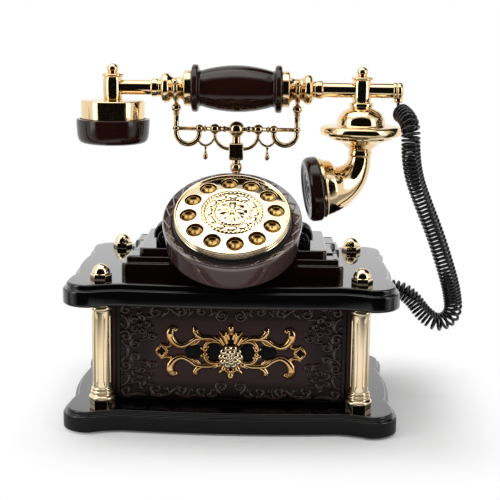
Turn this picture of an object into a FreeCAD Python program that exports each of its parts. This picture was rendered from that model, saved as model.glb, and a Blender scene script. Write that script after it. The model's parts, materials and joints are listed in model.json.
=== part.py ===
import FreeCAD, Part
import Sketcher
import math
import os
import re

from FreeCAD import Rotation, Vector

# Driving dimensions in millimetres and degrees. X runs to the right, Y to the back and Z up.
# The origin is the middle of the felt's underside.
SIZES = {
    # Felt and plinth
    "felt_half_x": 118.0,
    "felt_half_y": 77.0,
    "felt_round": 10.0,
    "felt_thick": 1.5,
    "felt_hole_radius": 5.0,
    "plinth_half_x": 129.0,
    "plinth_half_y": 89.0,
    "plinth_lower": 12.3,
    "plinth_upper": 3.5,
    # Wavy outline that the plinth and the top plate share
    "tier_inset": 3.0,
    "corner_run_x": 22.0,
    "corner_run_y": 16.0,
    "corner_radius": 21.0,
    "corner_lobe": 90.0,
    "front_dip": 7.0,
    "front_bow": 3.0,
    "dip_x": 82.0,
    "scoop_radius": 60.0,
    "side_notch": 3.5,
    "notch_y": 41.0,
    # Bottom cover
    "cover_half_x": 80.0,
    "cover_half_y": 50.0,
    "cover_thick": 3.0,
    "cover_ledge": 8.0,
    "cover_gap": 0.3,
    "screw_radius": 1.5,
    "screw_head_radius": 2.8,
    "screw_head_tall": 1.6,
    "screw_length": 9.0,
    # Case
    "case_half_x": 89.5,
    "case_half_y": 57.0,
    "case_wall": 6.0,
    "case_height": 82.3,
    "panel_border": 3.0,
    "panel_relief": 1.2,
    # Front ornament
    "ornament_half_x": 59.0,
    "ornament_thick": 3.5,
    "ornament_disc": 15.0,
    "scroll_outer": 9.5,
    "scroll_wide": 3.0,
    "scroll_x": 21.5,
    "scroll_z": 8.5,
    "curl_outer": 7.0,
    "curl_wide": 2.8,
    "curl_x": 36.5,
    "curl_z": 6.0,
    "leaf_half_z": 5.0,
    "bar_half_z": 2.0,
    "boss_radius": 8.8,
    "boss_tall": 5.0,
    # Columns and tie bolts
    "column_gap": 0.1,
    "column_y": 63.0,
    "column_foot_radius": 10.4,
    "column_foot_tall": 6.5,
    "column_shaft_radius": 7.4,
    "column_ring_radius": 8.5,
    "column_ring_tall": 2.2,
    "column_cove": 3.0,
    "column_bevel": 0.7,
    "bolt_radius": 2.5,
    "bolt_bore_gap": 0.2,
    "bolt_root": 10.0,
    "nut_radius": 8.5,
    "nut_tall": 5.0,
    "nut_dome_radius": 6.65,
    # Top plate and steps
    "plate_half_x": 128.0,
    "plate_half_y": 89.0,
    "plate_lower": 12.3,
    "plate_upper": 4.7,
    "step_half_x": 87.0,
    "step_front": 47.0,
    "step_back": 60.0,
    "step_lower_tall": 9.0,
    "step_upper_tall": 4.7,
    "step_inset": 4.0,
    "step_round": 5.0,
    "block_half_x": 74.0,
    "block_front": 38.0,
    "block_back": 52.0,
    "block_tall": 6.0,
    # Pedestal behind the dial
    "pedestal_half_x": 42.0,
    "pedestal_front": 36.0,
    "pedestal_back": 44.0,
    "pedestal_tall": 28.7,
    "tower_half_x": 18.0,
    "tower_front": 2.0,
    "tower_back": 38.0,
    "tower_tall": 17.0,
    "tower_lip": 4.0,
    "scroll_block_half_x": 61.0,
    "scroll_block_front": 30.0,
    "scroll_block_back": 13.0,
    "scroll_block_tall": 17.0,
    "scroll_block_round": 8.0,
    "wire_hole_radius": 4.0,
    # Dial
    "dial_tilt": 33.7,
    "dial_front": 58.0,
    "dial_rise": 28.4,
    "cup_radius": 53.5,
    "cup_floor_radius": 52.0,
    "cup_depth": 24.4,
    "cup_floor": 4.0,
    "cup_lip": 7.8,
    "cup_round": 2.0,
    "cup_wire_y": 22.0,
    "board_thick": 1.6,
    "board_gap": 0.4,
    "dome_radius": 3.0,
    "dome_tall": 1.2,
    "guide_neck_radius": 42.0,
    "guide_shoulder": 3.0,
    "finger_plate_radius": 44.4,
    "finger_plate_face": 6.5,
    "finger_plate_thick": 3.6,
    "finger_plate_skirt": 3.0,
    "finger_plate_gap": 0.4,
    "finger_plate_rim": 2.2,
    "finger_plate_rim_tall": 0.6,
    "finger_hole_radius": 6.5,
    "finger_ring": 33.5,
    "finger_turn": 5.6,
    "medallion_radius": 24.2,
    "medallion_sunk": 1.0,
    "medallion_proud": 1.6,
    "medallion_rim": 3.2,
    # Keys
    "key_radius": 5.9,
    "key_gap": 0.3,
    "key_flange": 1.1,
    "key_flange_tall": 2.0,
    "key_recess": 2.4,
    "key_travel": 2.0,
    "key_dish": 1.2,
    # Hook
    "hook_y": 20.0,
    "stem_radius": 3.0,
    "stem_bore_gap": 0.05,
    "stem_hole_radius": 4.0,
    "stem_tip": 5.5,
    "bush_flange_radius": 8.5,
    "bush_flange_tall": 5.0,
    "bush_radius": 7.0,
    "bush_sunk": 22.0,
    "bush_floor": 4.0,
    "piston_radius": 5.0,
    "piston_gap": 0.05,
    "piston_tall": 11.0,
    "spring_radius": 3.95,
    "spring_wire": 0.8,
    "spring_turns": 5,
    "spring_end_gap": 0.3,
    "sensor_half_x": 12.0,
    "sensor_half_y": 7.0,
    "sensor_tall": 14.0,
    "sensor_slot_gap": 1.2,
    "sensor_floor_gap": 1.0,
    # Cradle
    "collar_ball_radius": 5.1,
    "collar_ball_rise": 6.9,
    "collar_neck": 3.4,
    "stem_block_half": 6.0,
    "stem_block_tall": 14.3,
    "stem_block_rise": 13.2,
    "top_ball_radius": 6.8,
    "crossbar_rise": 38.5,
    "crossbar_radius": 1.75,
    "small_bead_radius": 2.6,
    "small_bead_x": 10.0,
    "large_bead_radius": 4.4,
    "large_bead_x": 17.8,
    "bow_radius": 1.5,
    "fork_x": 49.5,
    "fork_inner_x": 30.5,
    "fork_wire": 2.1,
    "fork_dip": 3.3,
    "fork_bead_radius": 3.6,
    "fork_joint_radius": 3.0,
    "prong_ball_radius": 4.0,
    "saddle_gap": 0.3,
    "prong_rise": 5.2,
    "prong_tip_radius": 2.5,
    "prong_tip_out": 0.7,
    "swag_in": 5.1,
    "swag_drop": 4.7,
    "swag_ring": 5.7,
    "pendant_wire": 1.0,
    "pendant_radius": 2.6,
    "pendant_tall": 12.0,
    # Handset
    "handset_rise": 76.5,
    "tube_radius": 6.0,
    "tube_bore": 4.5,
    "grip_half": 37.0,
    "grip_ring_wide": 6.0,
    "grip_ring_radius": 19.35,
    "grip_end_radius": 14.5,
    "grip_mid_radius": 19.0,
    "collar_cup_radius": 14.75,
    "collar_cup_wide": 6.0,
    "neck_radius": 8.75,
    "neck_half": 3.2,
    "bulb_radius": 12.25,
    "bulb_run": 10.0,
    "bulb_half": 3.4,
    "collar_waist": 6.9,
    "collar_bead_radius": 7.4,
    "collar_bead_run": 15.0,
    "collar_end_run": 20.5,
    "earpiece_x": 101.5,
    "mouth_x": 101.7,
    "post_radius": 8.0,
    "post_below": 9.8,
    "post_above": 8.5,
    "post_flange_radius": 9.2,
    "post_flange_tall": 2.4,
    "finial_waist": 2.2,
    "finial_rise": 4.2,
    "finial_ball_radius": 4.1,
    "cap_radius": 26.0,
    "cap_tall": 16.0,
    "cap_crown": 1.2,
    "cap_round": 3.0,
    "cap_wall": 2.0,
    "cup_ear_radius": 30.0,
    "cup_ear_tall": 20.5,
    "cup_ear_round": 9.0,
    "cup_ear_wall": 3.0,
    "cup_ear_dish": 2.0,
    "sound_hole_radius": 1.5,
    "sound_ring": 9.0,
    "receiver_radius": 21.0,
    "receiver_tall": 9.0,
    "bell_ring_radius": 9.8,
    "bell_ring_tall": 4.0,
    "bell_dome_radius": 20.0,
    "bell_dome_tall": 14.3,
    "saucer_radius": 33.5,
    "saucer_tall": 9.0,
    "saucer_round": 4.0,
    "saucer_step": 25.5,
    "bell_neck_radius": 9.0,
    "bell_neck_rise": 11.0,
    "bell_neck_tall": 5.4,
    "bell_wall": 3.0,
    "elbow_radius": 25.5,
    "elbow_turn": 83.0,
    "elbow_swing": 8.0,
    "elbow_start": 8.8,
    "elbow_mid": 13.5,
    "elbow_flare": 21.5,
    "elbow_mouth": 24.5,
    "elbow_run": 11.0,
    "elbow_wall": 1.8,
    "mouth_ring_radius": 26.6,
    "mouth_ring_tall": 11.0,
    "mouth_ring_round": 3.5,
    "mouth_dish": 3.0,
    "mouth_web": 3.0,
    "microphone_radius": 14.0,
    "microphone_tall": 6.0,
    "tube_over": 25.3,
    "end_cap_radius": 7.0,
    "end_cap_long": 8.5,
    "exit_run": 4.5,
    "exit_radius": 3.6,
    "exit_drop": 9.5,
    # Handset cord
    "cord_wire": 2.6,
    "cord_coil_radius": 6.6,
    "cord_pitch": 3.4,
    "cord_least_gap": 0.55,
    "cord_lead": 5.0,
    "cord_tail": 30.0,
    # Gland, jack and inner pieces
    "gland_y": 40.0,
    "gland_drop": 15.6,
    "gland_radius": 6.0,
    "gland_shank": 4.2,
    "gland_long": 4.0,
    "jack_x": 34.0,
    "jack_rise": 22.7,
    "jack_half_x": 7.0,
    "jack_half_z": 6.5,
    "jack_deep": 14.0,
    "jack_flange": 2.0,
    "jack_flange_thick": 1.5,
    "jack_socket_x": 4.9,
    "jack_socket_z": 3.6,
    "jack_socket_deep": 10.0,
    "main_board_x": 24.0,
    "main_board_half_x": 40.0,
    "main_board_half_y": 30.0,
    "main_board_rise": 6.0,
    "standoff_radius": 3.0,
    "chip_half": 9.0,
    "chip_tall": 3.0,
    "ringer_x": 46.0,
    "ringer_radius": 20.0,
    "ringer_tall": 15.0,
    "ringer_nose_radius": 12.0,
    "ringer_nose_tall": 4.0,
}

# The cord's route, chosen by hand: from the tube's end cap, down in a long sag and up to the gland.
CORD_ROUTE = [
    (131.5, 20.0, 249.0),
    (131.5, 20.0, 242.5),
    (137.0, 8.0, 239.0),
    (140.0, -2.2, 231.5),
    (140.0, -4.0, 219.0),
    (141.5, -0.5, 204.0),
    (146.0, 7.5, 187.0),
    (154.5, 13.5, 167.0),
    (166.0, 18.0, 141.0),
    (176.0, 22.0, 114.0),
    (183.5, 26.0, 91.0),
    (186.5, 28.5, 70.0),
    (174.0, 31.0, 60.5),
    (161.0, 33.0, 69.0),
    (152.0, 35.5, 81.5),
    (141.5, 38.0, 89.0),
    (127.0, 39.6, 90.0),
    (113.0, 40.0, 86.0),
    (101.0, 40.0, 84.0),
    (93.5, 40.0, 84.0),
]

KEY_NAMES = ["1", "2", "3", "4", "5", "6", "7", "8", "9", "star", "0", "hash"]

doc = FreeCAD.newDocument("cradle_phone")
sheet = doc.addObject("Spreadsheet::Sheet", "sizes")
for row, (alias, amount) in enumerate(SIZES.items(), 1):
    sheet.set(f"A{row}", alias)
    sheet.set(f"B{row}", str(amount))
    sheet.setAlias(f"B{row}", alias)
doc.recompute()

ALIAS = re.compile(r"[a-z_][a-z_0-9]*")
NODES = []


def bound(text):
    """The expression with each size's name pointing at its cell."""
    return ALIAS.sub(lambda word: "sizes." + word[0] if word[0] in SIZES else word[0], text)


def number(text):
    """The expression's value now."""
    return float(sheet.evalExpression(bound(text)))


def set_size(item, prop, text):
    setattr(item, prop, number(text))
    item.setExpression(prop, bound(text))


def place(item, x="0", y="0", z="0", turn=None):
    """Bind the item's place to the sheet; turn is a fixed rotation."""
    item.Placement = FreeCAD.Placement(Vector(number(x), number(y), number(z)), turn or Rotation())
    for letter, text in zip("xyz", (x, y, z)):
        if text != "0":
            item.setExpression("Placement.Base." + letter, bound(text))
    return item


def node(item, label):
    item.Label = label
    NODES.append(item)
    return item


# Sketches and body features

def new_body(name):
    return doc.addObject("PartDesign::Body", name)


def new_sketch(body, plane, lift):
    sketch = body.newObject("Sketcher::SketchObject", "sketch")
    origin_plane = next(part for part in body.Origin.OriginFeatures if part.Role == plane)
    sketch.AttachmentSupport = [(origin_plane, "")]
    sketch.MapMode = "FlatFace"
    if lift != "0":
        sketch.AttachmentOffset = FreeCAD.Placement(Vector(0, 0, number(lift)), Rotation())
        sketch.setExpression("AttachmentOffset.Base.z", bound(lift))
    return sketch


def pin_point(rules, texts, edge, spot, x, y):
    """Hold one point of an edge at x, y from the sketch's origin."""
    for kind, text, axis in (("DistanceX", x, -2), ("DistanceY", y, -1)):
        if text == "0":
            rules.append(Sketcher.Constraint("PointOnObject", edge, spot, axis))
            texts.append(None)
        else:
            rules.append(Sketcher.Constraint(kind, -1, 1, edge, spot, number(text)))
            texts.append(text)


def bind_rules(sketch, rules, texts):
    first = sketch.ConstraintCount
    sketch.addConstraint(rules)
    for index, text in enumerate(texts):
        if text:
            sketch.setExpression(f"Constraints[{first + index}]", bound(text))


def arc_between(start, end, bend):
    """The shorter arc from start to end; a positive bend turns left."""
    chord = end - start
    radius = abs(bend)
    rise = math.sqrt(max(radius ** 2 - (chord.Length / 2) ** 2, 0.0))
    left = Vector(-chord.y, chord.x, 0).normalize()
    centre = (start + end) / 2 + left * math.copysign(rise, bend)
    first, last = (start, end) if bend > 0 else (end, start)
    begin = math.atan2(first.y - centre.y, first.x - centre.x)
    finish = math.atan2(last.y - centre.y, last.x - centre.x)
    if finish < begin:
        finish += 2 * math.pi
    return Part.ArcOfCircle(Part.Circle(centre, Vector(0, 0, 1), radius), begin, finish)


def outline(body, plane, corners, lift="0"):
    """A closed outline. A corner is (x, y) or (x, y, bend), with bend the radius of the edge to it."""
    sketch = new_sketch(body, plane, lift)
    spots = [Vector(number(corner[0]), number(corner[1]), 0) for corner in corners]
    edges, rules, texts, ends = [], [], [], []
    for index, corner in enumerate(corners):
        target = (index + 1) % len(corners)
        bend = corners[target][2] if len(corners[target]) > 2 else None
        if bend is None:
            edges.append(Part.LineSegment(spots[index], spots[target]))
            ends.append((1, 2))
        else:
            edges.append(arc_between(spots[index], spots[target], number(bend)))
            ends.append((1, 2) if number(bend) > 0 else (2, 1))
            rules.append(Sketcher.Constraint("Radius", index, abs(number(bend))))
            texts.append(f"abs({bend})")
        pin_point(rules, texts, index, ends[index][0], corner[0], corner[1])
    for index in range(len(corners)):
        target = (index + 1) % len(corners)
        rules.append(Sketcher.Constraint("Coincident", index, ends[index][1], target, ends[target][0]))
        texts.append(None)
    sketch.addGeometry(edges)
    bind_rules(sketch, rules, texts)
    return sketch


def circles(body, plane, spots, lift="0"):
    """Circles, each given as (x, y, radius)."""
    sketch = new_sketch(body, plane, lift)
    rules, texts = [], []
    for index, (x, y, radius) in enumerate(spots):
        centre = Vector(number(x), number(y), 0)
        sketch.addGeometry(Part.Circle(centre, Vector(0, 0, 1), number(radius)))
        rules.append(Sketcher.Constraint("Radius", index, number(radius)))
        texts.append(radius)
        pin_point(rules, texts, index, 3, x, y)
    bind_rules(sketch, rules, texts)
    return sketch


def pad(body, sketch, length, middle=False):
    item = body.newObject("PartDesign::Pad", "pad")
    item.Profile = sketch
    item.Midplane = middle
    set_size(item, "Length", length)
    return item


def pocket(body, sketch, length, up=False):
    """Cut below the sketch, or above it with up; the cut has to remove something."""
    doc.recompute()
    before = body.Shape.Volume
    item = body.newObject("PartDesign::Pocket", "pocket")
    item.Profile = sketch
    item.Reversed = up
    set_size(item, "Length", length)
    doc.recompute()
    if not body.Shape.Volume < before:
        raise RuntimeError(f"{body.Name}: a pocket cuts nothing")
    return item


def turned(name, corners, **spot):
    """A body turned about its own Z axis from (radius, height) corners."""
    body = new_body(name)
    spin = body.newObject("PartDesign::Revolution", "turned")
    spin.Profile = outline(body, "XZ_Plane", corners)
    spin.ReferenceAxis = (spin.Profile[0], ["V_Axis"])
    spin.Angle = 360
    body.Tip = spin
    return place(body, **spot)


# Plain solids and booleans

def block(name, low, high):
    """A box between two corners given as expressions."""
    item = doc.addObject("Part::Box", name)
    for prop, start, end in zip(("Length", "Width", "Height"), low, high):
        set_size(item, prop, f"({end}) - ({start})")
    return place(item, *low)


ALONG_X = Rotation(Vector(0, 1, 0), 90)
ALONG_Y = Rotation(Vector(1, 0, 0), -90)


def rod(name, radius, length, x="0", y="0", z="0", turn=None):
    item = doc.addObject("Part::Cylinder", name)
    set_size(item, "Radius", radius)
    set_size(item, "Height", length)
    return place(item, x, y, z, turn)


def ball(name, radius, x="0", y="0", z="0"):
    item = doc.addObject("Part::Sphere", name)
    set_size(item, "Radius", radius)
    return place(item, x, y, z)


FACING_FRONT = Rotation(Vector(1, 0, 0), 90)
FACING_SIDE = Rotation(Vector(1, 1, 1), 120)


def bow(name, ring, wire, start, sweep, x, y, z, facing=FACING_FRONT):
    """Part of a ring, standing in the XZ plane, or in the YZ plane with FACING_SIDE."""
    item = doc.addObject("Part::Torus", name)
    set_size(item, "Radius1", ring)
    set_size(item, "Radius2", wire)
    item.Angle3 = sweep
    return place(item, x, y, z, facing * Rotation(Vector(0, 0, 1), start))


def joined(name, pieces):
    item = doc.addObject("Part::MultiFuse", name)
    item.Shapes = pieces
    return item


def grouped(name, pieces):
    item = doc.addObject("Part::Compound", name)
    item.Links = pieces
    return item


def cut(name, base, *tools):
    for tool in tools:
        item = doc.addObject("Part::Cut", name)
        item.Base = base
        item.Tool = tool
        base = item
    return base


def negative(text):
    return f"-({text})"


def side(sign, text):
    """The expression on the right, or its mirror image on the left."""
    return text if sign > 0 else negative(text)


# Heights that the pieces share
PLINTH_TOP = "(felt_thick + plinth_lower + plinth_upper)"
CASE_TOP = f"({PLINTH_TOP} + case_height)"
PLATE_TOP = f"({CASE_TOP} + plate_lower + plate_upper)"
STEP_TOP = f"({PLATE_TOP} + step_lower_tall + step_upper_tall)"
BLOCK_TOP = f"({STEP_TOP} + block_tall)"
PEDESTAL_TOP = f"({BLOCK_TOP} + pedestal_tall)"
TOWER_TOP = f"({PEDESTAL_TOP} + tower_tall)"
BUSH_TOP = f"({TOWER_TOP} + bush_flange_tall)"
CROSSBAR_LEVEL = f"({BUSH_TOP} + crossbar_rise)"
HANDSET_LEVEL = f"({TOWER_TOP} + handset_rise)"
COVER_UNDER = "felt_thick"
GLAND_LEVEL = f"({CASE_TOP} - gland_drop)"
JACK_LEVEL = f"({PLINTH_TOP} + jack_rise)"

# The dial's middle, and where the cup's wire hole comes out below it
DIAL_LEVEL = f"({BLOCK_TOP} + dial_rise)"
COLUMN_X = "(case_half_x + column_foot_radius + column_gap)"
WIRE_HOLE_Y = "(cup_wire_y * cos(dial_tilt) + cup_depth * sin(dial_tilt) - dial_front)"

# The tube's end and the cord's way out of it
TUBE_END = "(mouth_x + tube_over)"
EXIT_X = f"({TUBE_END} + exit_run)"
EXIT_LEVEL = f"({HANDSET_LEVEL} - exit_drop)"

CORNERS = [(-1, -1), (1, -1), (-1, 1), (1, 1)]
SCREW_X = "(cover_half_x - cover_ledge / 2)"
SCREW_Y = "(cover_half_y - cover_ledge / 2)"


def rectangle(half_x, half_y):
    return [
        (negative(half_x), negative(half_y)),
        (half_x, negative(half_y)),
        (half_x, half_y),
        (negative(half_x), half_y),
    ]


def rounded(half_x, front, back, radius):
    """A rectangle from front to back with round corners."""
    left, near = negative(half_x), negative(front)
    return [
        (f"{left} + {radius}", near, radius),
        (f"{half_x} - {radius}", near),
        (half_x, f"{near} + {radius}", radius),
        (half_x, f"{back} - {radius}"),
        (f"{half_x} - {radius}", back, radius),
        (f"{left} + {radius}", back),
        (left, f"{back} - {radius}", radius),
        (left, f"{near} + {radius}"),
    ]


def wavy(half_x, half_y):
    """The base's outline: lobed corners, a bowed front and back, and notched sides."""
    dip_y = f"({half_y} - front_dip)"
    lobe_x = f"({half_x} - corner_run_x)"
    lobe_y = f"({half_y} - corner_run_y)"
    notch_x = f"({half_x} - side_notch)"
    sag = "(front_dip - front_bow)"
    front_bend = f"(dip_x ^ 2 + {sag} ^ 2) / (2 * {sag})"
    side_bend = "(notch_y ^ 2 + side_notch ^ 2) / (2 * side_notch)"
    return [
        ("-dip_x", negative(dip_y), "-scoop_radius"),
        ("dip_x", negative(dip_y), front_bend),
        (lobe_x, negative(half_y), "-scoop_radius"),
        (half_x, negative(lobe_y), "corner_radius"),
        (notch_x, "-notch_y", "corner_lobe"),
        (notch_x, "notch_y", side_bend),
        (half_x, lobe_y, "corner_lobe"),
        (lobe_x, half_y, "corner_radius"),
        ("dip_x", dip_y, "-scoop_radius"),
        ("-dip_x", dip_y, front_bend),
        (negative(lobe_x), half_y, "-scoop_radius"),
        (negative(half_x), lobe_y, "corner_radius"),
        (negative(notch_x), "notch_y", "corner_lobe"),
        (negative(notch_x), "-notch_y", side_bend),
        (negative(half_x), negative(lobe_y), "corner_lobe"),
        (negative(lobe_x), negative(half_y), "corner_radius"),
    ]


def corner_spots(x, y, radius):
    return [(side(sx, x), side(sy, y), radius) for sx, sy in CORNERS]


def two_tiers(name, half_x, half_y, under, lower, upper):
    body = new_body(name)
    pad(body, outline(body, "XY_Plane", wavy(half_x, half_y), under), lower)
    inset = wavy(f"({half_x} - tier_inset)", f"({half_y} - tier_inset)")
    pad(body, outline(body, "XY_Plane", inset, f"{under} + {lower}"), upper)
    return body


# Base

def make_felt():
    body = new_body("felt")
    edge = rounded("felt_half_x", "felt_half_y", "felt_half_y", "felt_round")
    pad(body, outline(body, "XY_Plane", edge), "felt_thick")
    holes = corner_spots(SCREW_X, SCREW_Y, "felt_hole_radius")
    pocket(body, circles(body, "XY_Plane", holes), "felt_thick", up=True)
    node(body, "felt_pad")


def make_plinth():
    body = two_tiers(
        "plinth_body", "plinth_half_x", "plinth_half_y", "felt_thick", "plinth_lower", "plinth_upper"
    )
    seat = rectangle("(cover_half_x + cover_gap)", "(cover_half_y + cover_gap)")
    pocket(body, outline(body, "XY_Plane", seat, COVER_UNDER), "cover_thick", up=True)
    hatch = rectangle("(cover_half_x - cover_ledge)", "(cover_half_y - cover_ledge)")
    pocket(body, outline(body, "XY_Plane", hatch, COVER_UNDER), "plinth_lower + plinth_upper", up=True)
    pilots = corner_spots(SCREW_X, SCREW_Y, "screw_radius")
    pocket(body, circles(body, "XY_Plane", pilots, COVER_UNDER), "screw_length", up=True)
    bolts = corner_spots(COLUMN_X, "column_y", "bolt_radius")
    pocket(body, circles(body, "XY_Plane", bolts, PLINTH_TOP), "bolt_root")
    node(body, "plinth")


def make_bottom_cover():
    body = new_body("cover")
    edge = rectangle("cover_half_x", "cover_half_y")
    pad(body, outline(body, "XY_Plane", edge, COVER_UNDER), "cover_thick")
    holes = corner_spots(SCREW_X, SCREW_Y, "screw_radius")
    pocket(body, circles(body, "XY_Plane", holes, COVER_UNDER), "cover_thick", up=True)
    sinks = corner_spots(SCREW_X, SCREW_Y, "screw_head_radius")
    pocket(body, circles(body, "XY_Plane", sinks, COVER_UNDER), "screw_head_tall", up=True)
    node(body, "bottom_cover")

    screw = [
        ("0", "0"),
        ("screw_head_radius", "0"),
        ("screw_head_radius", "screw_head_tall"),
        ("screw_radius", "screw_head_tall"),
        ("screw_radius", "screw_length"),
        ("0", "screw_length"),
    ]
    screws = []
    for sx, sy in CORNERS:
        screws.append(turned("screw", screw, x=side(sx, SCREW_X), y=side(sy, SCREW_Y), z=COVER_UNDER))
    node(grouped("screws", screws), "cover_screws")


def make_case():
    inner = "(case_half_x - case_wall)"
    near = "(case_half_y - case_wall)"
    body = new_body("walls")
    corners = [
        ("-case_half_x", negative(near)),
        (negative(inner), negative(near)),
        (negative(inner), near),
        (inner, near),
        (inner, negative(near)),
        ("case_half_x", negative(near)),
        ("case_half_x", "case_half_y"),
        ("-case_half_x", "case_half_y"),
    ]
    pad(body, outline(body, "XY_Plane", corners, PLINTH_TOP), "case_height")
    jack_hole = block(
        "jack_hole",
        ("-jack_x - jack_half_x", near, f"{JACK_LEVEL} - jack_half_z"),
        ("-jack_x + jack_half_x", "case_half_y", f"{JACK_LEVEL} + jack_half_z"),
    )
    gland_hole = rod("gland_hole", "gland_shank", "case_wall", inner, "gland_y", GLAND_LEVEL, ALONG_X)
    node(cut("shell", body, jack_hole, gland_hole), "case_shell")

    proud = "(-case_half_y - panel_relief)"
    board = block(
        "panel_board",
        ("-case_half_x", proud, PLINTH_TOP),
        ("case_half_x", negative(near), CASE_TOP),
    )
    field = block(
        "panel_field",
        ("-case_half_x + panel_border", proud, f"{PLINTH_TOP} + panel_border"),
        ("case_half_x - panel_border", "-case_half_y", f"{CASE_TOP} - panel_border"),
    )
    node(cut("panel", board, field), "front_panel")


def make_ornament():
    """A flat-backed scroll ornament on the panel, and the domed boss at its middle."""
    back = "-case_half_y"
    level = f"({PLINTH_TOP} + case_height / 2)"
    pieces = [rod("disc", "ornament_disc", "ornament_thick", "0", back, level, FACING_FRONT)]
    pieces.append(
        block(
            "bar",
            ("-ornament_half_x + 2 * leaf_half_z", f"{back} - ornament_thick", f"{level} - bar_half_z"),
            ("ornament_half_x - 2 * leaf_half_z", back, f"{level} + bar_half_z"),
        )
    )
    for kind in ("scroll", "curl"):
        for sx, sz in CORNERS:
            x = side(sx, kind + "_x")
            z = f"{level} + {side(sz, kind + '_z')}"
            disc = rod("ring_disc", kind + "_outer", "ornament_thick", x, back, z, FACING_FRONT)
            bore = rod(
                "ring_bore", f"{kind}_outer - {kind}_wide", "ornament_thick", x, back, z, FACING_FRONT
            )
            pieces.append(cut("ring", disc, bore))
    for sign in (-1, 1):
        leaf = new_body("leaf")
        tip = side(sign, "ornament_half_x")
        root = side(sign, "(ornament_half_x - 4 * leaf_half_z)")
        belly = side(sign, "(ornament_half_x - 2.5 * leaf_half_z)")
        corners = [(root, "0"), (belly, "-leaf_half_z"), (tip, "0"), (belly, "leaf_half_z")]
        if sign < 0:
            corners.reverse()
        pad(leaf, outline(leaf, "XZ_Plane", corners), "ornament_thick")
        pieces.append(place(leaf, "0", back, level))
    face = f"({back} - ornament_thick)"
    boss = turned(
        "boss",
        [
            ("0", "0"),
            ("boss_radius", "0"),
            ("0", "boss_tall", "(boss_radius ^ 2 + boss_tall ^ 2) / (2 * boss_tall)"),
        ],
        x="0",
        y=face,
        z=level,
        turn=FACING_FRONT,
    )
    node(grouped("ornament", [joined("scrolls", pieces), boss]), "front_ornament")


def make_columns():
    bore = "(bolt_radius + bolt_bore_gap)"
    top = "case_height"
    foot = "column_foot_tall"
    profile = [
        (bore, "0"),
        ("column_foot_radius", "0"),
        ("column_foot_radius", foot),
        ("column_ring_radius", f"{foot} + column_cove", "-column_cove"),
        ("column_ring_radius", f"{foot} + column_cove + column_ring_tall"),
        ("column_shaft_radius", f"{foot} + column_cove + column_ring_tall + column_bevel"),
        ("column_shaft_radius", f"{top} - 3 * column_ring_tall - column_bevel"),
        ("column_ring_radius", f"{top} - 3 * column_ring_tall"),
        ("column_ring_radius", f"{top} - 2 * column_ring_tall"),
        ("column_shaft_radius", f"{top} - 2 * column_ring_tall + column_bevel"),
        ("column_shaft_radius", f"{top} - column_ring_tall - column_bevel"),
        ("column_ring_radius", f"{top} - column_ring_tall"),
        ("column_ring_radius", top),
        (bore, top),
    ]
    names = ["front_left_column", "front_right_column", "back_left_column", "back_right_column"]
    for label, (sx, sy) in zip(names, CORNERS):
        column = turned("column", profile, x=side(sx, COLUMN_X), y=side(sy, "column_y"), z=PLINTH_TOP)
        node(column, label)


def make_tie_bolts():
    bolts = []
    for sx, sy in CORNERS:
        x, y = side(sx, COLUMN_X), side(sy, "column_y")
        nut = doc.addObject("Part::Prism", "nut")
        nut.Polygon = 6
        set_size(nut, "Circumradius", "nut_radius")
        set_size(nut, "Height", "nut_tall")
        place(nut, x, y, PLATE_TOP)
        dome = doc.addObject("Part::Sphere", "nut_dome")
        set_size(dome, "Radius", "nut_dome_radius")
        dome.Angle1 = 0
        place(dome, x, y, f"{PLATE_TOP} + nut_tall")
        root = f"({PLINTH_TOP} - bolt_root)"
        shank = rod("shank", "bolt_radius", f"{PLATE_TOP} - {root}", x, y, root)
        bolts.append(joined("bolt", [nut, dome, shank]))
    node(grouped("bolts", bolts), "tie_bolts")


def shaft_holes():
    """The stem's and the wires' way down to the case."""
    return [("0", "hook_y", "stem_hole_radius"), ("0", WIRE_HOLE_Y, "wire_hole_radius")]


def make_top():
    body = two_tiers("plate_body", "plate_half_x", "plate_half_y", CASE_TOP, "plate_lower", "plate_upper")
    bolts = corner_spots(COLUMN_X, "column_y", "bolt_radius + bolt_bore_gap")
    pocket(body, circles(body, "XY_Plane", bolts + shaft_holes(), PLATE_TOP), "plate_lower + plate_upper")
    node(body, "top_plate")

    step = new_body("step")
    tier = rounded("step_half_x", "step_front", "step_back", "step_round")
    pad(step, outline(step, "XY_Plane", tier, PLATE_TOP), "step_lower_tall")
    front, back = "(step_front - step_inset)", "(step_back - step_inset)"
    inset = rounded("(step_half_x - step_inset)", front, back, "step_round")
    pad(step, outline(step, "XY_Plane", inset, f"{PLATE_TOP} + step_lower_tall"), "step_upper_tall")
    pocket(step, circles(step, "XY_Plane", shaft_holes(), STEP_TOP), "step_lower_tall + step_upper_tall")
    node(step, "lower_step")

    upper = new_body("upper")
    edge = rounded("block_half_x", "block_front", "block_back", "step_round")
    pad(upper, outline(upper, "XY_Plane", edge, STEP_TOP), "block_tall")
    pocket(upper, circles(upper, "XY_Plane", shaft_holes(), BLOCK_TOP), "block_tall")
    node(upper, "upper_step")


def slope(y):
    """Height of the cup's underside at y."""
    return f"({DIAL_LEVEL} - cup_depth / cos(dial_tilt) + ({y} + dial_front) * tan(dial_tilt))"


def slope_y(level):
    """Where the cup's underside reaches a level."""
    return f"(({level} - {DIAL_LEVEL} + cup_depth / cos(dial_tilt)) / tan(dial_tilt) - dial_front)"


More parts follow.
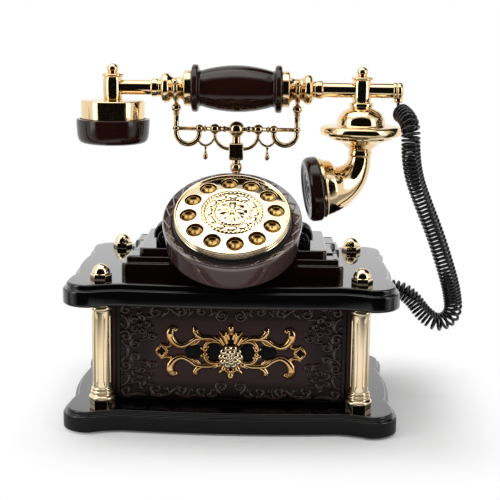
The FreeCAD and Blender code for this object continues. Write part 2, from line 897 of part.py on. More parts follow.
def make_pedestal():
    body = new_body("pedestal")
    wide = [
        ("-pedestal_front", BLOCK_TOP),
        ("pedestal_back", BLOCK_TOP),
        ("pedestal_back", PEDESTAL_TOP),
        (slope_y(PEDESTAL_TOP), PEDESTAL_TOP),
        ("-pedestal_front", slope("-pedestal_front")),
    ]
    pad(body, outline(body, "YZ_Plane", wide), "2 * pedestal_half_x", middle=True)
    ledge = slope("-tower_lip")
    narrow = [
        (slope_y(PEDESTAL_TOP), PEDESTAL_TOP),
        ("tower_back", PEDESTAL_TOP),
        ("tower_back", TOWER_TOP),
        ("tower_front", TOWER_TOP),
        ("tower_front", ledge),
        ("-tower_lip", ledge),
    ]
    pad(body, outline(body, "YZ_Plane", narrow), "2 * tower_half_x", middle=True)
    pocket(body, circles(body, "XY_Plane", [("0", "hook_y", "bush_radius")], TOWER_TOP), "bush_sunk")
    pocket(body, circles(body, "XY_Plane", shaft_holes(), TOWER_TOP), f"{TOWER_TOP} - {BLOCK_TOP}")
    node(body, "dial_pedestal")

    scrolls = []
    for sign in (-1, 1):
        scroll = new_body("scroll")
        inner, outer = side(sign, "pedestal_half_x"), side(sign, "scroll_block_half_x")
        shoulder = side(sign, "(scroll_block_half_x - scroll_block_round)")
        top = f"({BLOCK_TOP} + scroll_block_tall)"
        corners = [
            (inner, BLOCK_TOP),
            (outer, BLOCK_TOP),
            (outer, f"{top} - scroll_block_round"),
            (shoulder, top, side(sign, "scroll_block_round")),
            (inner, top),
        ]
        pad(scroll, outline(scroll, "XZ_Plane", corners), "scroll_block_front - scroll_block_back")
        scrolls.append(place(scroll, "0", "-scroll_block_back"))
    node(grouped("scrolls", scrolls), "side_scrolls")


# Dial. Each piece is made about the dial's own axis, with its zero at the rim, then tilted.

CUP_INNER = "(cup_radius - cup_lip)"
BOARD_UNDER = "(cup_floor - cup_depth)"
BOARD_TOP = f"({BOARD_UNDER} + board_thick)"
PLATE_UNDER = "(finger_plate_face - finger_plate_thick)"
KEY_TOP = "(finger_plate_face - key_recess)"
KEY_UNDER = f"({BOARD_TOP} + dome_tall + key_travel + key_gap)"
KEY_BORE = "(key_radius + key_gap)"
KEY_SEAT = "(key_radius + key_flange + key_gap)"
KEY_CEILING = f"({KEY_UNDER} + key_flange_tall + key_gap)"


def on_dial(item, x="0", y="0"):
    """Put a piece on the tilted dial, x across and y up its face."""
    tilt = Rotation(Vector(1, 0, 0), number("dial_tilt"))
    place(item, x, f"-dial_front + ({y}) * cos(dial_tilt)", f"{DIAL_LEVEL} + ({y}) * sin(dial_tilt)", tilt)
    item.setExpression("Placement.Rotation.Angle", bound("dial_tilt"))
    return item


def key_spots():
    """The twelve keys' places, the first at the top right, going counterclockwise."""
    spots = []
    for index in range(len(KEY_NAMES)):
        angle = f"({60 + 30 * index} + finger_turn)"
        spots.append((f"finger_ring * cos({angle})", f"finger_ring * sin({angle})"))
    return spots


def with_radius(radius):
    return [(x, y, radius) for x, y in key_spots()]


def make_dial():
    cup = turned(
        "cup",
        [
            ("0", "-cup_depth"),
            ("cup_floor_radius", "-cup_depth"),
            ("cup_radius", "-cup_round"),
            ("cup_radius - cup_round", "0", "cup_round"),
            (CUP_INNER, "0"),
            (CUP_INNER, BOARD_UNDER),
            ("0", BOARD_UNDER),
        ],
    )
    wire_hole = circles(cup, "XY_Plane", [("0", "cup_wire_y", "wire_hole_radius")], BOARD_UNDER)
    pocket(cup, wire_hole, "cup_floor")
    node(on_dial(cup), "dial_cup")

    board = turned(
        "board",
        [
            ("0", BOARD_UNDER),
            (f"{CUP_INNER} - board_gap", BOARD_UNDER),
            (f"{CUP_INNER} - board_gap", BOARD_TOP),
            ("0", BOARD_TOP),
        ],
    )
    pad(board, circles(board, "XY_Plane", with_radius("dome_radius"), BOARD_TOP), "dome_tall")
    node(on_dial(board), "keypad_board")

    guide = turned(
        "guide",
        [
            ("0", BOARD_TOP),
            (CUP_INNER, BOARD_TOP),
            (CUP_INNER, "-guide_shoulder"),
            ("guide_neck_radius", "-guide_shoulder"),
            ("guide_neck_radius", PLATE_UNDER),
            ("0", PLATE_UNDER),
        ],
    )
    bores = circles(guide, "XY_Plane", with_radius(KEY_BORE), PLATE_UNDER)
    pocket(guide, bores, f"{PLATE_UNDER} - {BOARD_TOP}")
    seats = circles(guide, "XY_Plane", with_radius(KEY_SEAT), BOARD_TOP)
    pocket(guide, seats, f"{KEY_CEILING} - {BOARD_TOP}", up=True)
    node(on_dial(guide), "key_guide")

    rim_inner = "(finger_plate_radius - finger_plate_rim)"
    skirt = "(guide_neck_radius + finger_plate_gap)"
    medallion_floor = "(finger_plate_face - medallion_sunk)"
    plate = turned(
        "plate",
        [
            ("0", PLATE_UNDER),
            (skirt, PLATE_UNDER),
            (skirt, f"{PLATE_UNDER} - finger_plate_skirt"),
            ("finger_plate_radius", f"{PLATE_UNDER} - finger_plate_skirt"),
            ("finger_plate_radius", "finger_plate_face"),
            (f"{rim_inner} + finger_plate_rim / 2", "finger_plate_face + finger_plate_rim_tall"),
            (rim_inner, "finger_plate_face"),
            ("medallion_radius", "finger_plate_face"),
            ("medallion_radius", medallion_floor),
            ("0", medallion_floor),
        ],
    )
    holes = circles(plate, "XY_Plane", with_radius("finger_hole_radius"), "finger_plate_face")
    pocket(plate, holes, "finger_plate_thick")
    node(on_dial(plate), "finger_plate")

    proud = "(finger_plate_face + medallion_proud)"
    medallion = turned(
        "medallion",
        [
            ("0", medallion_floor),
            ("medallion_radius", medallion_floor),
            ("medallion_radius", "finger_plate_face"),
            ("medallion_radius - medallion_rim / 2", proud),
            ("medallion_radius - medallion_rim", "finger_plate_face"),
            ("medallion_radius - 2 * medallion_rim", proud),
            ("0", proud),
        ],
    )
    node(on_dial(medallion), "dial_medallion")


def make_keys():
    profile = [
        ("0", KEY_UNDER),
        ("key_radius + key_flange", KEY_UNDER),
        ("key_radius + key_flange", f"{KEY_UNDER} + key_flange_tall"),
        ("key_radius", f"{KEY_UNDER} + key_flange_tall"),
        ("key_radius", KEY_TOP),
        ("0", f"{KEY_TOP} - key_dish", "-(key_radius ^ 2 + key_dish ^ 2) / (2 * key_dish)"),
    ]
    for name, (x, y) in zip(KEY_NAMES, key_spots()):
        node(on_dial(turned("key", profile), x, y), "key_" + name)


# Hook: the bush that guides it, its spring and its sensor

SPRING_FLOOR = f"({TOWER_TOP} - bush_sunk + bush_floor)"
PISTON_UNDER = f"({BUSH_TOP} - piston_tall)"


def make_hook_parts():
    stem_bore = "(stem_radius + stem_bore_gap)"
    piston_bore = "(piston_radius + piston_gap)"
    bush = turned(
        "bush",
        [
            (stem_bore, "-bush_sunk"),
            ("bush_radius", "-bush_sunk"),
            ("bush_radius", "0"),
            ("bush_flange_radius", "0"),
            ("bush_flange_radius", "bush_flange_tall - 1"),
            ("bush_flange_radius - 1", "bush_flange_tall", "1"),
            (piston_bore, "bush_flange_tall"),
            (piston_bore, "bush_floor - bush_sunk"),
            (stem_bore, "bush_floor - bush_sunk"),
        ],
        y="hook_y",
        z=TOWER_TOP,
    )
    node(bush, "hook_bush")

    slot = rod(
        "sensor_slot",
        "stem_radius + sensor_slot_gap",
        "stem_tip + sensor_floor_gap",
        "0",
        "hook_y",
        f"{CASE_TOP} - stem_tip - sensor_floor_gap",
    )
    housing = block(
        "sensor_housing",
        ("-sensor_half_x", "hook_y - sensor_half_y", f"{CASE_TOP} - sensor_tall"),
        ("sensor_half_x", "hook_y + sensor_half_y", CASE_TOP),
    )
    node(cut("sensor", housing, slot), "hook_switch")


def make_cradle_stem():
    """The hook's stem: piston, collar ball, square block and top ball in one turned piece."""
    base = BUSH_TOP
    collar = f"({base} + collar_ball_rise)"
    block_under = f"({base} + stem_block_rise)"
    block_top = f"({block_under} + stem_block_tall)"
    collar_half = "sqrt(collar_ball_radius ^ 2 - collar_neck ^ 2)"
    top_half = "sqrt(top_ball_radius ^ 2 - collar_neck ^ 2)"
    body = turned(
        "stem",
        [
            ("0", f"{CASE_TOP} - stem_tip"),
            ("stem_radius", f"{CASE_TOP} - stem_tip"),
            ("stem_radius", PISTON_UNDER),
            ("piston_radius", PISTON_UNDER),
            ("piston_radius", base),
            ("collar_neck", f"{base} + 1"),
            ("collar_neck", f"{collar} - {collar_half}"),
            ("collar_neck", f"{collar} + {collar_half}", "collar_ball_radius"),
            ("collar_neck", f"{CROSSBAR_LEVEL} - {top_half}"),
            ("0", f"{CROSSBAR_LEVEL} + top_ball_radius", "top_ball_radius"),
        ],
        y="hook_y",
    )
    square = block(
        "square",
        ("-stem_block_half", "hook_y - stem_block_half", block_under),
        ("stem_block_half", "hook_y + stem_block_half", block_top),
    )
    hole_long, hole_start = "2 * top_ball_radius", "-top_ball_radius"
    bar_hole = rod("bar_hole", "crossbar_radius", hole_long, hole_start, "hook_y", CROSSBAR_LEVEL, ALONG_X)
    node(cut("stem_piece", joined("stem_blank", [body, square]), bar_hole), "cradle_stem")


def bead(x, radius):
    """Profile corners of a round bead on the crossbar, at x along it."""
    half = f"sqrt({radius} ^ 2 - crossbar_radius ^ 2)"
    return [
        ("crossbar_radius", f"{x} - {half}"),
        ("crossbar_radius", f"{x} + {half}", radius),
    ]


def make_crossbar():
    profile = [("0", "-fork_x"), ("crossbar_radius", "-fork_x")]
    profile += bead("-large_bead_x", "large_bead_radius") + bead("-small_bead_x", "small_bead_radius")
    profile += bead("small_bead_x", "small_bead_radius") + bead("large_bead_x", "large_bead_radius")
    profile += [("crossbar_radius", "fork_x"), ("0", "fork_x")]
    pieces = [turned("bar", profile, x="0", y="hook_y", z=CROSSBAR_LEVEL, turn=ALONG_X)]
    ring = "(large_bead_x - stem_block_half)"
    bow_level = f"({CROSSBAR_LEVEL} - large_bead_radius)"
    for sign in (-1, 1):
        start = 270 if sign > 0 else 180
        x = side(sign, "stem_block_half")
        pieces.append(bow("brace", ring, "bow_radius", start, 90, x, "hook_y", bow_level))
        root_x = side(sign, "large_bead_x")
        pieces.append(rod("brace_root", "bow_radius", "large_bead_radius", root_x, "hook_y", bow_level))
    node(joined("crossbar", pieces), "cradle_crossbar")


def make_fork(sign, label):
    """A hook that drops from the crossbar, rises outside it and forks round the handset's neck."""
    outer, inner = side(sign, "fork_x"), side(sign, "fork_inner_x")
    middle = side(sign, "(fork_x + fork_inner_x) / 2")
    ring = "(fork_x - fork_inner_x) / 2"
    dip = f"({CROSSBAR_LEVEL} - fork_dip)"
    saddle = "(neck_radius + saddle_gap + fork_wire)"
    prong_ball = f"({HANDSET_LEVEL} - {saddle} - prong_ball_radius - fork_wire + 1)"
    swag_x = side(sign, "(fork_inner_x - swag_in)")
    swag_level = f"({dip} - swag_drop)"
    swag_start = 200 if sign > 0 else 180
    pieces = [
        bow("hook", ring, "fork_wire", 180, 180, middle, "hook_y", dip),
        rod("inner_leg", "fork_wire", "fork_dip", inner, "hook_y", dip),
        rod("outer_leg", "fork_wire", f"{prong_ball} - {dip}", outer, "hook_y", dip),
        ball("bar_bead", "fork_bead_radius", inner, "hook_y", CROSSBAR_LEVEL),
        ball("bar_joint", "fork_joint_radius", outer, "hook_y", CROSSBAR_LEVEL),
        ball("prong_ball", "prong_ball_radius", outer, "hook_y", prong_ball),
        bow("saddle", saddle, "fork_wire", 180, 180, outer, "hook_y", HANDSET_LEVEL, FACING_SIDE),
        bow("swag", "swag_ring", "pendant_wire", swag_start, 160, swag_x, "hook_y", swag_level),
        turned(
            "pendant",
            [
                ("0", "-pendant_tall"),
                ("pendant_radius", "-pendant_tall + 1.4 * pendant_radius", "1.3 * pendant_radius"),
                ("pendant_wire", "-pendant_tall / 3"),
                ("pendant_wire", "0"),
                ("0", "0"),
            ],
            x=swag_x,
            y="hook_y",
            z=f"{swag_level} - swag_ring",
        ),
    ]
    for way in ("-", "+"):
        y = f"hook_y {way} {saddle}"
        pieces.append(rod("prong", "fork_wire", "prong_rise", outer, y, HANDSET_LEVEL))
        tip_y = f"hook_y {way} ({saddle} + prong_tip_out)"
        pieces.append(ball("prong_tip", "prong_tip_radius", outer, tip_y, f"{HANDSET_LEVEL} + prong_rise"))
    start = "0" if sign > 0 else "-fork_x"
    bar_hole = rod("fork_bar_hole", "crossbar_radius", "fork_x", start, "hook_y", CROSSBAR_LEVEL, ALONG_X)
    node(cut("fork", joined("fork_blank", pieces), bar_hole), label)


# Handset

def along_handset(name, corners):
    return turned(name, corners, x="0", y="hook_y", z=HANDSET_LEVEL, turn=ALONG_X)


def make_grip():
    barrel = "(grip_half - grip_ring_wide)"
    sag = "(grip_mid_radius - grip_end_radius)"
    belly = f"({barrel} ^ 2 + {sag} ^ 2) / (2 * {sag})"
    ring_round = "(grip_ring_wide / 3)"
    corners = [
        ("tube_radius", "-grip_half"),
        (f"grip_ring_radius - {ring_round}", "-grip_half"),
        ("grip_ring_radius", f"-grip_half + {ring_round}", ring_round),
        ("grip_ring_radius", f"-{barrel} - {ring_round}"),
        (f"grip_ring_radius - {ring_round}", f"-{barrel}", ring_round),
        ("grip_end_radius", f"-{barrel}"),
        ("grip_end_radius", barrel, belly),
        (f"grip_ring_radius - {ring_round}", barrel),
        ("grip_ring_radius", f"{barrel} + {ring_round}", ring_round),
        ("grip_ring_radius", f"grip_half - {ring_round}"),
        (f"grip_ring_radius - {ring_round}", "grip_half", ring_round),
        ("tube_radius", "grip_half"),
    ]
    node(along_handset("grip_body", corners), "handset_grip")


def make_collar(sign, label):
    cup_end = "(grip_half + collar_cup_wide)"
    neck_in, neck_out = "(fork_x - neck_half)", "(fork_x + neck_half)"
    bulb = "(fork_x + bulb_run)"
    bulb_in, bulb_out = f"({bulb} - bulb_half)", f"({bulb} + bulb_half)"
    bead_in, collar_end = "(fork_x + collar_bead_run)", "(fork_x + collar_end_run)"
    right = [
        ("tube_radius", "grip_half"),
        ("collar_cup_radius", "grip_half"),
        ("collar_cup_radius", cup_end),
        ("neck_radius", neck_in),
        ("neck_radius", neck_out),
        ("bulb_radius", bulb_in),
        ("bulb_radius", bulb),
        ("collar_waist", bulb_out),
        ("collar_waist", bead_in),
        ("collar_bead_radius", f"{bead_in} + 1"),
        ("collar_bead_radius", f"{collar_end} - 1"),
        ("tube_radius", collar_end),
    ]
    corners = [(radius, side(sign, along)) for radius, along in right]
    if sign < 0:
        corners.reverse()
    node(along_handset("collar", corners), label)


def make_tube():
    corners = [
        ("tube_bore", "-earpiece_x"),
        ("tube_radius", "-earpiece_x"),
        ("tube_radius", TUBE_END),
        ("tube_bore", TUBE_END),
    ]
    node(along_handset("tube", corners), "handset_tube")

    cap_end = f"({TUBE_END} + end_cap_long)"
    cap = along_handset(
        "end_cap",
        [
            ("0", TUBE_END),
            ("end_cap_radius", TUBE_END),
            ("end_cap_radius", f"{cap_end} - end_cap_radius / 2"),
            ("end_cap_radius / 2", cap_end, "end_cap_radius / 2"),
            ("0", cap_end),
        ],
    )
    boss = rod("exit_boss", "exit_radius", "exit_drop", EXIT_X, "hook_y", EXIT_LEVEL)
    node(joined("end_piece", [cap, boss]), "tube_end_cap")


def post_profile():
    """A barrel post with a flange, a waist and a ball on top; its zero is the tube's axis."""
    flange = "(post_above + post_flange_tall)"
    ball_level = f"({flange} + finial_rise)"
    half = "sqrt(finial_ball_radius ^ 2 - finial_waist ^ 2)"
    return [
        ("0", "-post_below"),
        ("post_radius", "-post_below"),
        ("post_radius", "post_above"),
        ("post_flange_radius", "post_above"),
        ("post_flange_radius", flange),
        ("finial_waist", f"{ball_level} - {half}"),
        ("0", f"{ball_level} + finial_ball_radius", "finial_ball_radius"),
    ]


def make_earpiece():
    x = "-earpiece_x"
    post = turned("ear_post", post_profile(), x=x, y="hook_y", z=HANDSET_LEVEL)
    hole = rod("ear_post_hole", "tube_radius", "2 * post_radius", x, "hook_y", HANDSET_LEVEL, ALONG_X)
    node(cut("ear_post_piece", post, hole), "earpiece_post")

    top = f"({HANDSET_LEVEL} - post_below)"
    crown = "(cap_radius - cap_round)"
    cap = turned(
        "ear_cap",
        [
            ("cap_radius - cap_wall", "-cap_tall"),
            ("cap_radius", "-cap_tall"),
            ("cap_radius", "-cap_crown - cap_round"),
            (crown, "-cap_crown", "cap_round"),
            ("post_radius", "0"),
            ("0", "0"),
            ("0", "-cap_crown - cap_wall"),
            ("cap_radius - cap_wall", "-cap_crown - cap_wall - cap_round / 2"),
        ],
        x=x,
        y="hook_y",
        z=top,
    )
    node(cap, "earpiece_cap")

    face = "(-cap_tall - cup_ear_tall)"
    inner = "(cup_ear_radius - cup_ear_wall)"
    cup = turned(
        "ear_cup",
        [
            ("0", f"{face} + cup_ear_dish"),
            (
                "cup_ear_radius - cup_ear_round",
                face,
                "-((cup_ear_radius - cup_ear_round) ^ 2 + cup_ear_dish ^ 2) / (2 * cup_ear_dish)",
            ),
            ("cup_ear_radius", f"{face} + cup_ear_round", "cup_ear_round"),
            ("cup_ear_radius", "-cap_tall"),
            (inner, "-cap_tall"),
            (inner, f"{face} + cup_ear_round"),
            (f"{inner} - cup_ear_round / 2", f"{face} + cup_ear_dish + cup_ear_wall"),
            ("0", f"{face} + cup_ear_dish + cup_ear_wall"),
        ],
        x=x,
        y="hook_y",
        z=top,
    )
    holes = [("0", "0", "sound_hole_radius")]
    for index in range(6):
        angle = 60 * index + 15
        holes.append((f"sound_ring * cos({angle})", f"sound_ring * sin({angle})", "sound_hole_radius"))
    pocket(cup, circles(cup, "XY_Plane", holes, f"{face} - 1"), "cup_ear_dish + cup_ear_wall + 1", up=True)
    node(cup, "earpiece")

    receiver = turned(
        "receiver",
        [
            ("0", "0"),
            ("receiver_radius - 2", "0"),
            ("receiver_radius", "receiver_tall / 2"),
            ("receiver_radius", "receiver_tall"),
            ("0", "receiver_tall"),
        ],
        x=x,
        y="hook_y",
        z=f"{top} + {face} + cup_ear_dish + cup_ear_wall",
    )
    node(receiver, "receiver_capsule")


SAUCER_TOP = f"({HANDSET_LEVEL} - post_below - bell_ring_tall - bell_dome_tall)"
SAUCER_UNDER = f"({SAUCER_TOP} - saucer_tall)"
ELBOW_TOP = f"({SAUCER_UNDER} - bell_neck_rise - bell_neck_tall)"


def make_mouth_bell():
    post = turned("mouth_post_body", post_profile(), x="mouth_x", y="hook_y", z=HANDSET_LEVEL)
    start = "mouth_x - post_radius"
    hole = rod("mouth_post_hole", "tube_radius", "2 * post_radius", start, "hook_y", HANDSET_LEVEL, ALONG_X)
    node(cut("mouth_post_piece", post, hole), "mouth_post")

    ring_under = "(-bell_ring_tall)"
    rim_top = f"({ring_under} - bell_dome_tall)"
    rim_under = f"({rim_top} - saucer_tall)"
    neck_top = f"({rim_under} - bell_neck_rise)"
    dome_gap = "(bell_dome_radius - bell_ring_radius)"
    dome_bend = f"({dome_gap} ^ 2 + bell_dome_tall ^ 2) / (2 * {dome_gap})"
    bell = turned(
        "bell",
        [
            ("0", f"{neck_top} - bell_neck_tall"),
            ("bell_neck_radius", f"{neck_top} - bell_neck_tall"),
            ("bell_neck_radius", neck_top),
            ("saucer_step", f"{rim_under} - 2", "-1.2 * saucer_step"),
            ("saucer_radius - saucer_round", rim_under),
            ("saucer_radius", f"{rim_under} + saucer_round", "saucer_round"),
            ("saucer_radius", f"{rim_top} - saucer_round / 2"),
            ("saucer_radius - saucer_round / 2", rim_top, "saucer_round / 2"),
            ("bell_dome_radius", rim_top),
            ("bell_ring_radius", ring_under, dome_bend),
            ("bell_ring_radius", "0"),
            ("0", "0"),
        ],
        x="mouth_x",
        y="hook_y",
        z=f"{HANDSET_LEVEL} - post_below",
    )
    hollow = turned(
        "bell_hollow",
        [
            ("0", f"{rim_under} + bell_wall"),
            ("saucer_step", f"{rim_under} + bell_wall"),
            ("saucer_step", f"{rim_top} - bell_wall"),
            ("bell_dome_radius - 2 * bell_wall", f"{rim_top} - bell_wall"),
            ("bell_ring_radius - bell_wall", f"{ring_under} - bell_wall"),
            ("0", f"{ring_under} - bell_wall"),
        ],
        x="mouth_x",
        y="hook_y",
        z=f"{HANDSET_LEVEL} - post_below",
    )
    node(cut("bell_piece", bell, hollow), "mouth_bell")


# The elbow and what it carries are made about the mouth post's axis, then swung round it.

def swung(name, item):
    """The piece put on the post's axis and turned a little towards the front."""
    held = grouped(name, [item])
    place(held, "mouth_x", "hook_y", "0", Rotation(Vector(0, 0, 1), number("elbow_swing")))
    held.setExpression("Placement.Rotation.Angle", bound("elbow_swing"))
    return held


def elbow_section(radius, turn, run="0"):
    """A round section of the elbow, turned this far round its bend and then run straight on."""
    ring = doc.addObject("Part::Circle", "section")
    set_size(ring, "Radius", radius)
    x = f"elbow_radius * (cos({turn}) - 1) - ({run}) * sin({turn})"
    z = f"{ELBOW_TOP} - elbow_radius * sin({turn}) - ({run}) * cos({turn})"
    place(ring, x, "0", z, Rotation(Vector(0, 1, 0), number(turn)))
    ring.setExpression("Placement.Rotation.Angle", bound(turn))
    return ring


def elbow_solid(name, wall):
    sections = [
        elbow_section(f"elbow_start - {wall}", "0"),
        elbow_section(f"(elbow_start * 2 + elbow_mid) / 3 - {wall}", "elbow_turn * 0.28"),
        elbow_section(f"elbow_mid - {wall}", "elbow_turn * 0.55"),
        elbow_section(f"(elbow_mid + elbow_flare) / 2 - {wall}", "elbow_turn * 0.8"),
        elbow_section(f"elbow_flare - {wall}", "elbow_turn"),
        elbow_section(f"elbow_mouth - {wall}", "elbow_turn", "elbow_run"),
    ]
    loft = doc.addObject("Part::Loft", name)
    loft.Sections = sections
    loft.Solid = True
    loft.Ruled = False
    return loft


def at_mouth(item, run):
    """Put a turned piece on the elbow's mouth, its axis pointing back into the elbow."""
    along = f"(elbow_run + {run})"
    x = f"elbow_radius * (cos(elbow_turn) - 1) - {along} * sin(elbow_turn)"
    z = f"{ELBOW_TOP} - elbow_radius * sin(elbow_turn) - {along} * cos(elbow_turn)"
    place(item, x, "0", z, Rotation(Vector(0, 1, 0), number("elbow_turn")))
    item.setExpression("Placement.Rotation.Angle", bound("elbow_turn"))
    return item


def make_mouthpiece():
    elbow = cut("elbow", elbow_solid("elbow_outside", "0"), elbow_solid("elbow_inside", "elbow_wall"))
    node(swung("swung_elbow", elbow), "mouth_elbow")

    dish_radius = "(mouth_ring_radius - mouth_ring_round)"
    mouthpiece = turned(
        "mouth_ring",
        [
            ("0", "mouth_dish"),
            (dish_radius, "0", f"-({dish_radius} ^ 2 + mouth_dish ^ 2) / (2 * mouth_dish)"),
            ("mouth_ring_radius", "mouth_ring_round", "mouth_ring_round"),
            ("mouth_ring_radius", "mouth_ring_tall"),
            ("microphone_radius", "mouth_ring_tall"),
            ("microphone_radius", "mouth_dish + mouth_web"),
            ("0", "mouth_dish + mouth_web"),
        ],
    )
    holes = [("0", "0", "sound_hole_radius")]
    for index in range(6):
        angle = 60 * index + 15
        holes.append((f"sound_ring * cos({angle})", f"sound_ring * sin({angle})", "sound_hole_radius"))
    pocket(mouthpiece, circles(mouthpiece, "XY_Plane", holes), "mouth_dish + mouth_web", up=True)
    node(swung("swung_mouthpiece", at_mouth(mouthpiece, "mouth_ring_tall")), "mouthpiece")

    microphone = turned(
        "microphone_body",
        [
            ("0", "mouth_dish + mouth_web"),
            ("microphone_radius", "mouth_dish + mouth_web"),
            ("microphone_radius", "mouth_dish + mouth_web + microphone_tall"),
            ("0", "mouth_dish + mouth_web + microphone_tall"),
        ],
    )
    node(swung("swung_microphone", at_mouth(microphone, "mouth_ring_tall")), "microphone")


# Gland, jack and the electrical pieces inside the case

def make_inner_pieces():
    gland = turned(
        "gland",
        [
            ("0", "-case_wall"),
            ("gland_shank", "-case_wall"),
            ("gland_shank", "0"),
            ("gland_radius", "0"),
            ("gland_radius", "gland_long / 2"),
            ("gland_shank", "gland_long"),
            ("0", "gland_long"),
        ],
        x="case_half_x",
        y="gland_y",
        z=GLAND_LEVEL,
        turn=ALONG_X,
    )
    node(gland, "cord_gland")

    back = "case_half_y"
    low = ("-jack_x - jack_half_x", f"{back} + jack_flange_thick - jack_deep", f"{JACK_LEVEL} - jack_half_z")
    high = ("-jack_x + jack_half_x", f"{back} + jack_flange_thick", f"{JACK_LEVEL} + jack_half_z")
    body = block("jack_body", low, high)
    rim = "(jack_half_z + jack_flange)"
    flange = block(
        "jack_flange_plate",
        ("-jack_x - jack_half_x - jack_flange", back, f"{JACK_LEVEL} - {rim}"),
        ("-jack_x + jack_half_x + jack_flange", f"{back} + jack_flange_thick", f"{JACK_LEVEL} + {rim}"),
    )
    mouth = f"({back} + jack_flange_thick)"
    socket = block(
        "jack_socket",
        ("-jack_x - jack_socket_x", f"{mouth} - jack_socket_deep", f"{JACK_LEVEL} - jack_socket_z"),
        ("-jack_x + jack_socket_x", mouth, f"{JACK_LEVEL} + jack_socket_z"),
    )
    node(cut("jack", joined("jack_blank", [body, flange]), socket), "line_jack")

    floor = "(felt_thick + cover_thick)"
    level = f"({floor} + main_board_rise)"
    right, left = "main_board_x + main_board_half_x", "main_board_x - main_board_half_x"
    face = f"({level} + board_thick)"
    pieces = [block("circuit", (left, "-main_board_half_y", level), (right, "main_board_half_y", face))]
    inset = "2 * standoff_radius"
    for x in (f"{left} + {inset}", f"{right} - {inset}"):
        for y in (f"-main_board_half_y + {inset}", f"main_board_half_y - {inset}"):
            pieces.append(rod("standoff", "standoff_radius", "main_board_rise", x, y, floor))
    pieces.append(
        block(
            "chip",
            ("main_board_x - chip_half", "-chip_half", face),
            ("main_board_x + chip_half", "chip_half", f"{face} + chip_tall"),
        )
    )
    node(joined("circuit_board", pieces), "main_board")

    ringer = turned(
        "ringer_body",
        [
            ("0", "0"),
            ("ringer_radius", "0"),
            ("ringer_radius", "ringer_tall"),
            ("ringer_nose_radius", "ringer_tall"),
            ("ringer_nose_radius", "ringer_tall + ringer_nose_tall"),
            ("0", "ringer_tall + ringer_nose_tall"),
        ],
        x="-ringer_x",
        z=floor,
    )
    node(ringer, "ringer")


# Wound wires: a path of biarcs and a round section carried along it

def biarc(start, start_way, end, end_way):
    """Two arcs that join two points and meet smoothly, leaving and arriving along the given ways."""
    gap = end - start
    ways = start_way + end_way
    square = 2 * (1 - start_way.dot(end_way))
    pull = gap.dot(ways)
    if square < 1e-9:
        reach = gap.dot(gap) / (4 * gap.dot(end_way))
    else:
        reach = (math.sqrt(pull ** 2 + square * gap.dot(gap)) - pull) / square
    joint = (start + end + (start_way - end_way) * reach) / 2
    return [bend(start, start_way, joint), bend(joint, (end - end_way * reach - joint).normalize(), end)]


def bend(start, way, end):
    """The arc that leaves start along way and reaches end, with its radius; a line where nearly straight."""
    chord = end - start
    along = chord.dot(way)
    across = chord - way * along
    if across.Length < 1e-4 * chord.Length:
        return Part.LineSegment(start, end).toShape(), math.inf
    radius = chord.dot(chord) / (2 * across.Length)
    inward = across.normalize()
    centre = start + inward * radius
    middle = ((start + end) / 2 - centre).normalize()
    return Part.Arc(start, centre + middle * radius, end).toShape(), radius


def wound_tube(points, ways, wire, lead=0.0):
    """A tube on biarcs through points, with straight ends, and its tightest arc."""
    edges, tightest = [], math.inf
    if lead:
        edges.append(Part.LineSegment(points[0] - ways[0] * lead, points[0]).toShape())
    for index in range(len(points) - 1):
        for edge, radius in biarc(points[index], ways[index], points[index + 1], ways[index + 1]):
            edges.append(edge)
            tightest = min(tightest, radius)
    if lead:
        edges.append(Part.LineSegment(points[-1], points[-1] + ways[-1] * lead).toShape())
    path = Part.Wire(edges)
    first = points[0] - ways[0] * lead
    section = Part.Wire([Part.Circle(first, ways[0], wire / 2).toShape()])
    shell = Part.BRepOffsetAPI.MakePipeShell(path)
    shell.add(section)
    shell.build()
    shell.makeSolid()
    tube = shell.shape()
    wanted = math.pi * (wire / 2) ** 2 * path.Length
    print(f"wire {wire:.2f}: length {path.Length:.1f}, tightest arc {tightest:.2f}, "
          f"volume {tube.Volume / wanted:.4f} of its section times its length")
    return tube, path


def least_gap(path, wire, skip):
    """The least distance between the tube and itself, on points along it, leaving out a stretch each way."""
    step = wire / 4
    spots = path.discretize(Distance=step)
    cell = wire * 2
    cells = {}
    for index, spot in enumerate(spots):
        key = (int(spot.x // cell), int(spot.y // cell), int(spot.z // cell))
        cells.setdefault(key, []).append(index)
    nearest = math.inf
    for (a, b, c), own in cells.items():
        around = []
        for i in (-1, 0, 1):
            for j in (-1, 0, 1):
                for k in (-1, 0, 1):
                    around += cells.get((a + i, b + j, c + k), [])
        for one in own:
            for other in around:
                if (other - one) * step > skip:
                    nearest = min(nearest, spots[one].distanceToPoint(spots[other]))
    return nearest - wire


def make_hook_spring():
    wire, radius = number("spring_wire"), number("spring_radius")
    low = number(f"{SPRING_FLOOR} + spring_end_gap") + wire / 2
    high = number(f"{PISTON_UNDER} - spring_end_gap") - wire / 2
    turns = int(number("spring_turns"))
    rise = (high - low) / turns
    points, ways = [], []
    for quarter in range(4 * turns + 1):
        angle = quarter * math.pi / 2
        points.append(Vector(radius * math.cos(angle), radius * math.sin(angle), low + rise * quarter / 4))
        way = Vector(-radius * math.sin(angle), radius * math.cos(angle), rise / (2 * math.pi))
        ways.append(way.normalize())
    tube, path = wound_tube(points, ways, wire)
    print(f"hook spring: least gap to itself {least_gap(path, wire, math.pi * radius):.2f}")
    spring = doc.addObject("Part::Feature", "spring")
    spring.Shape = tube
    spring.Placement = FreeCAD.Placement(Vector(0, number("hook_y"), 0), Rotation())
    node(spring, "hook_spring")


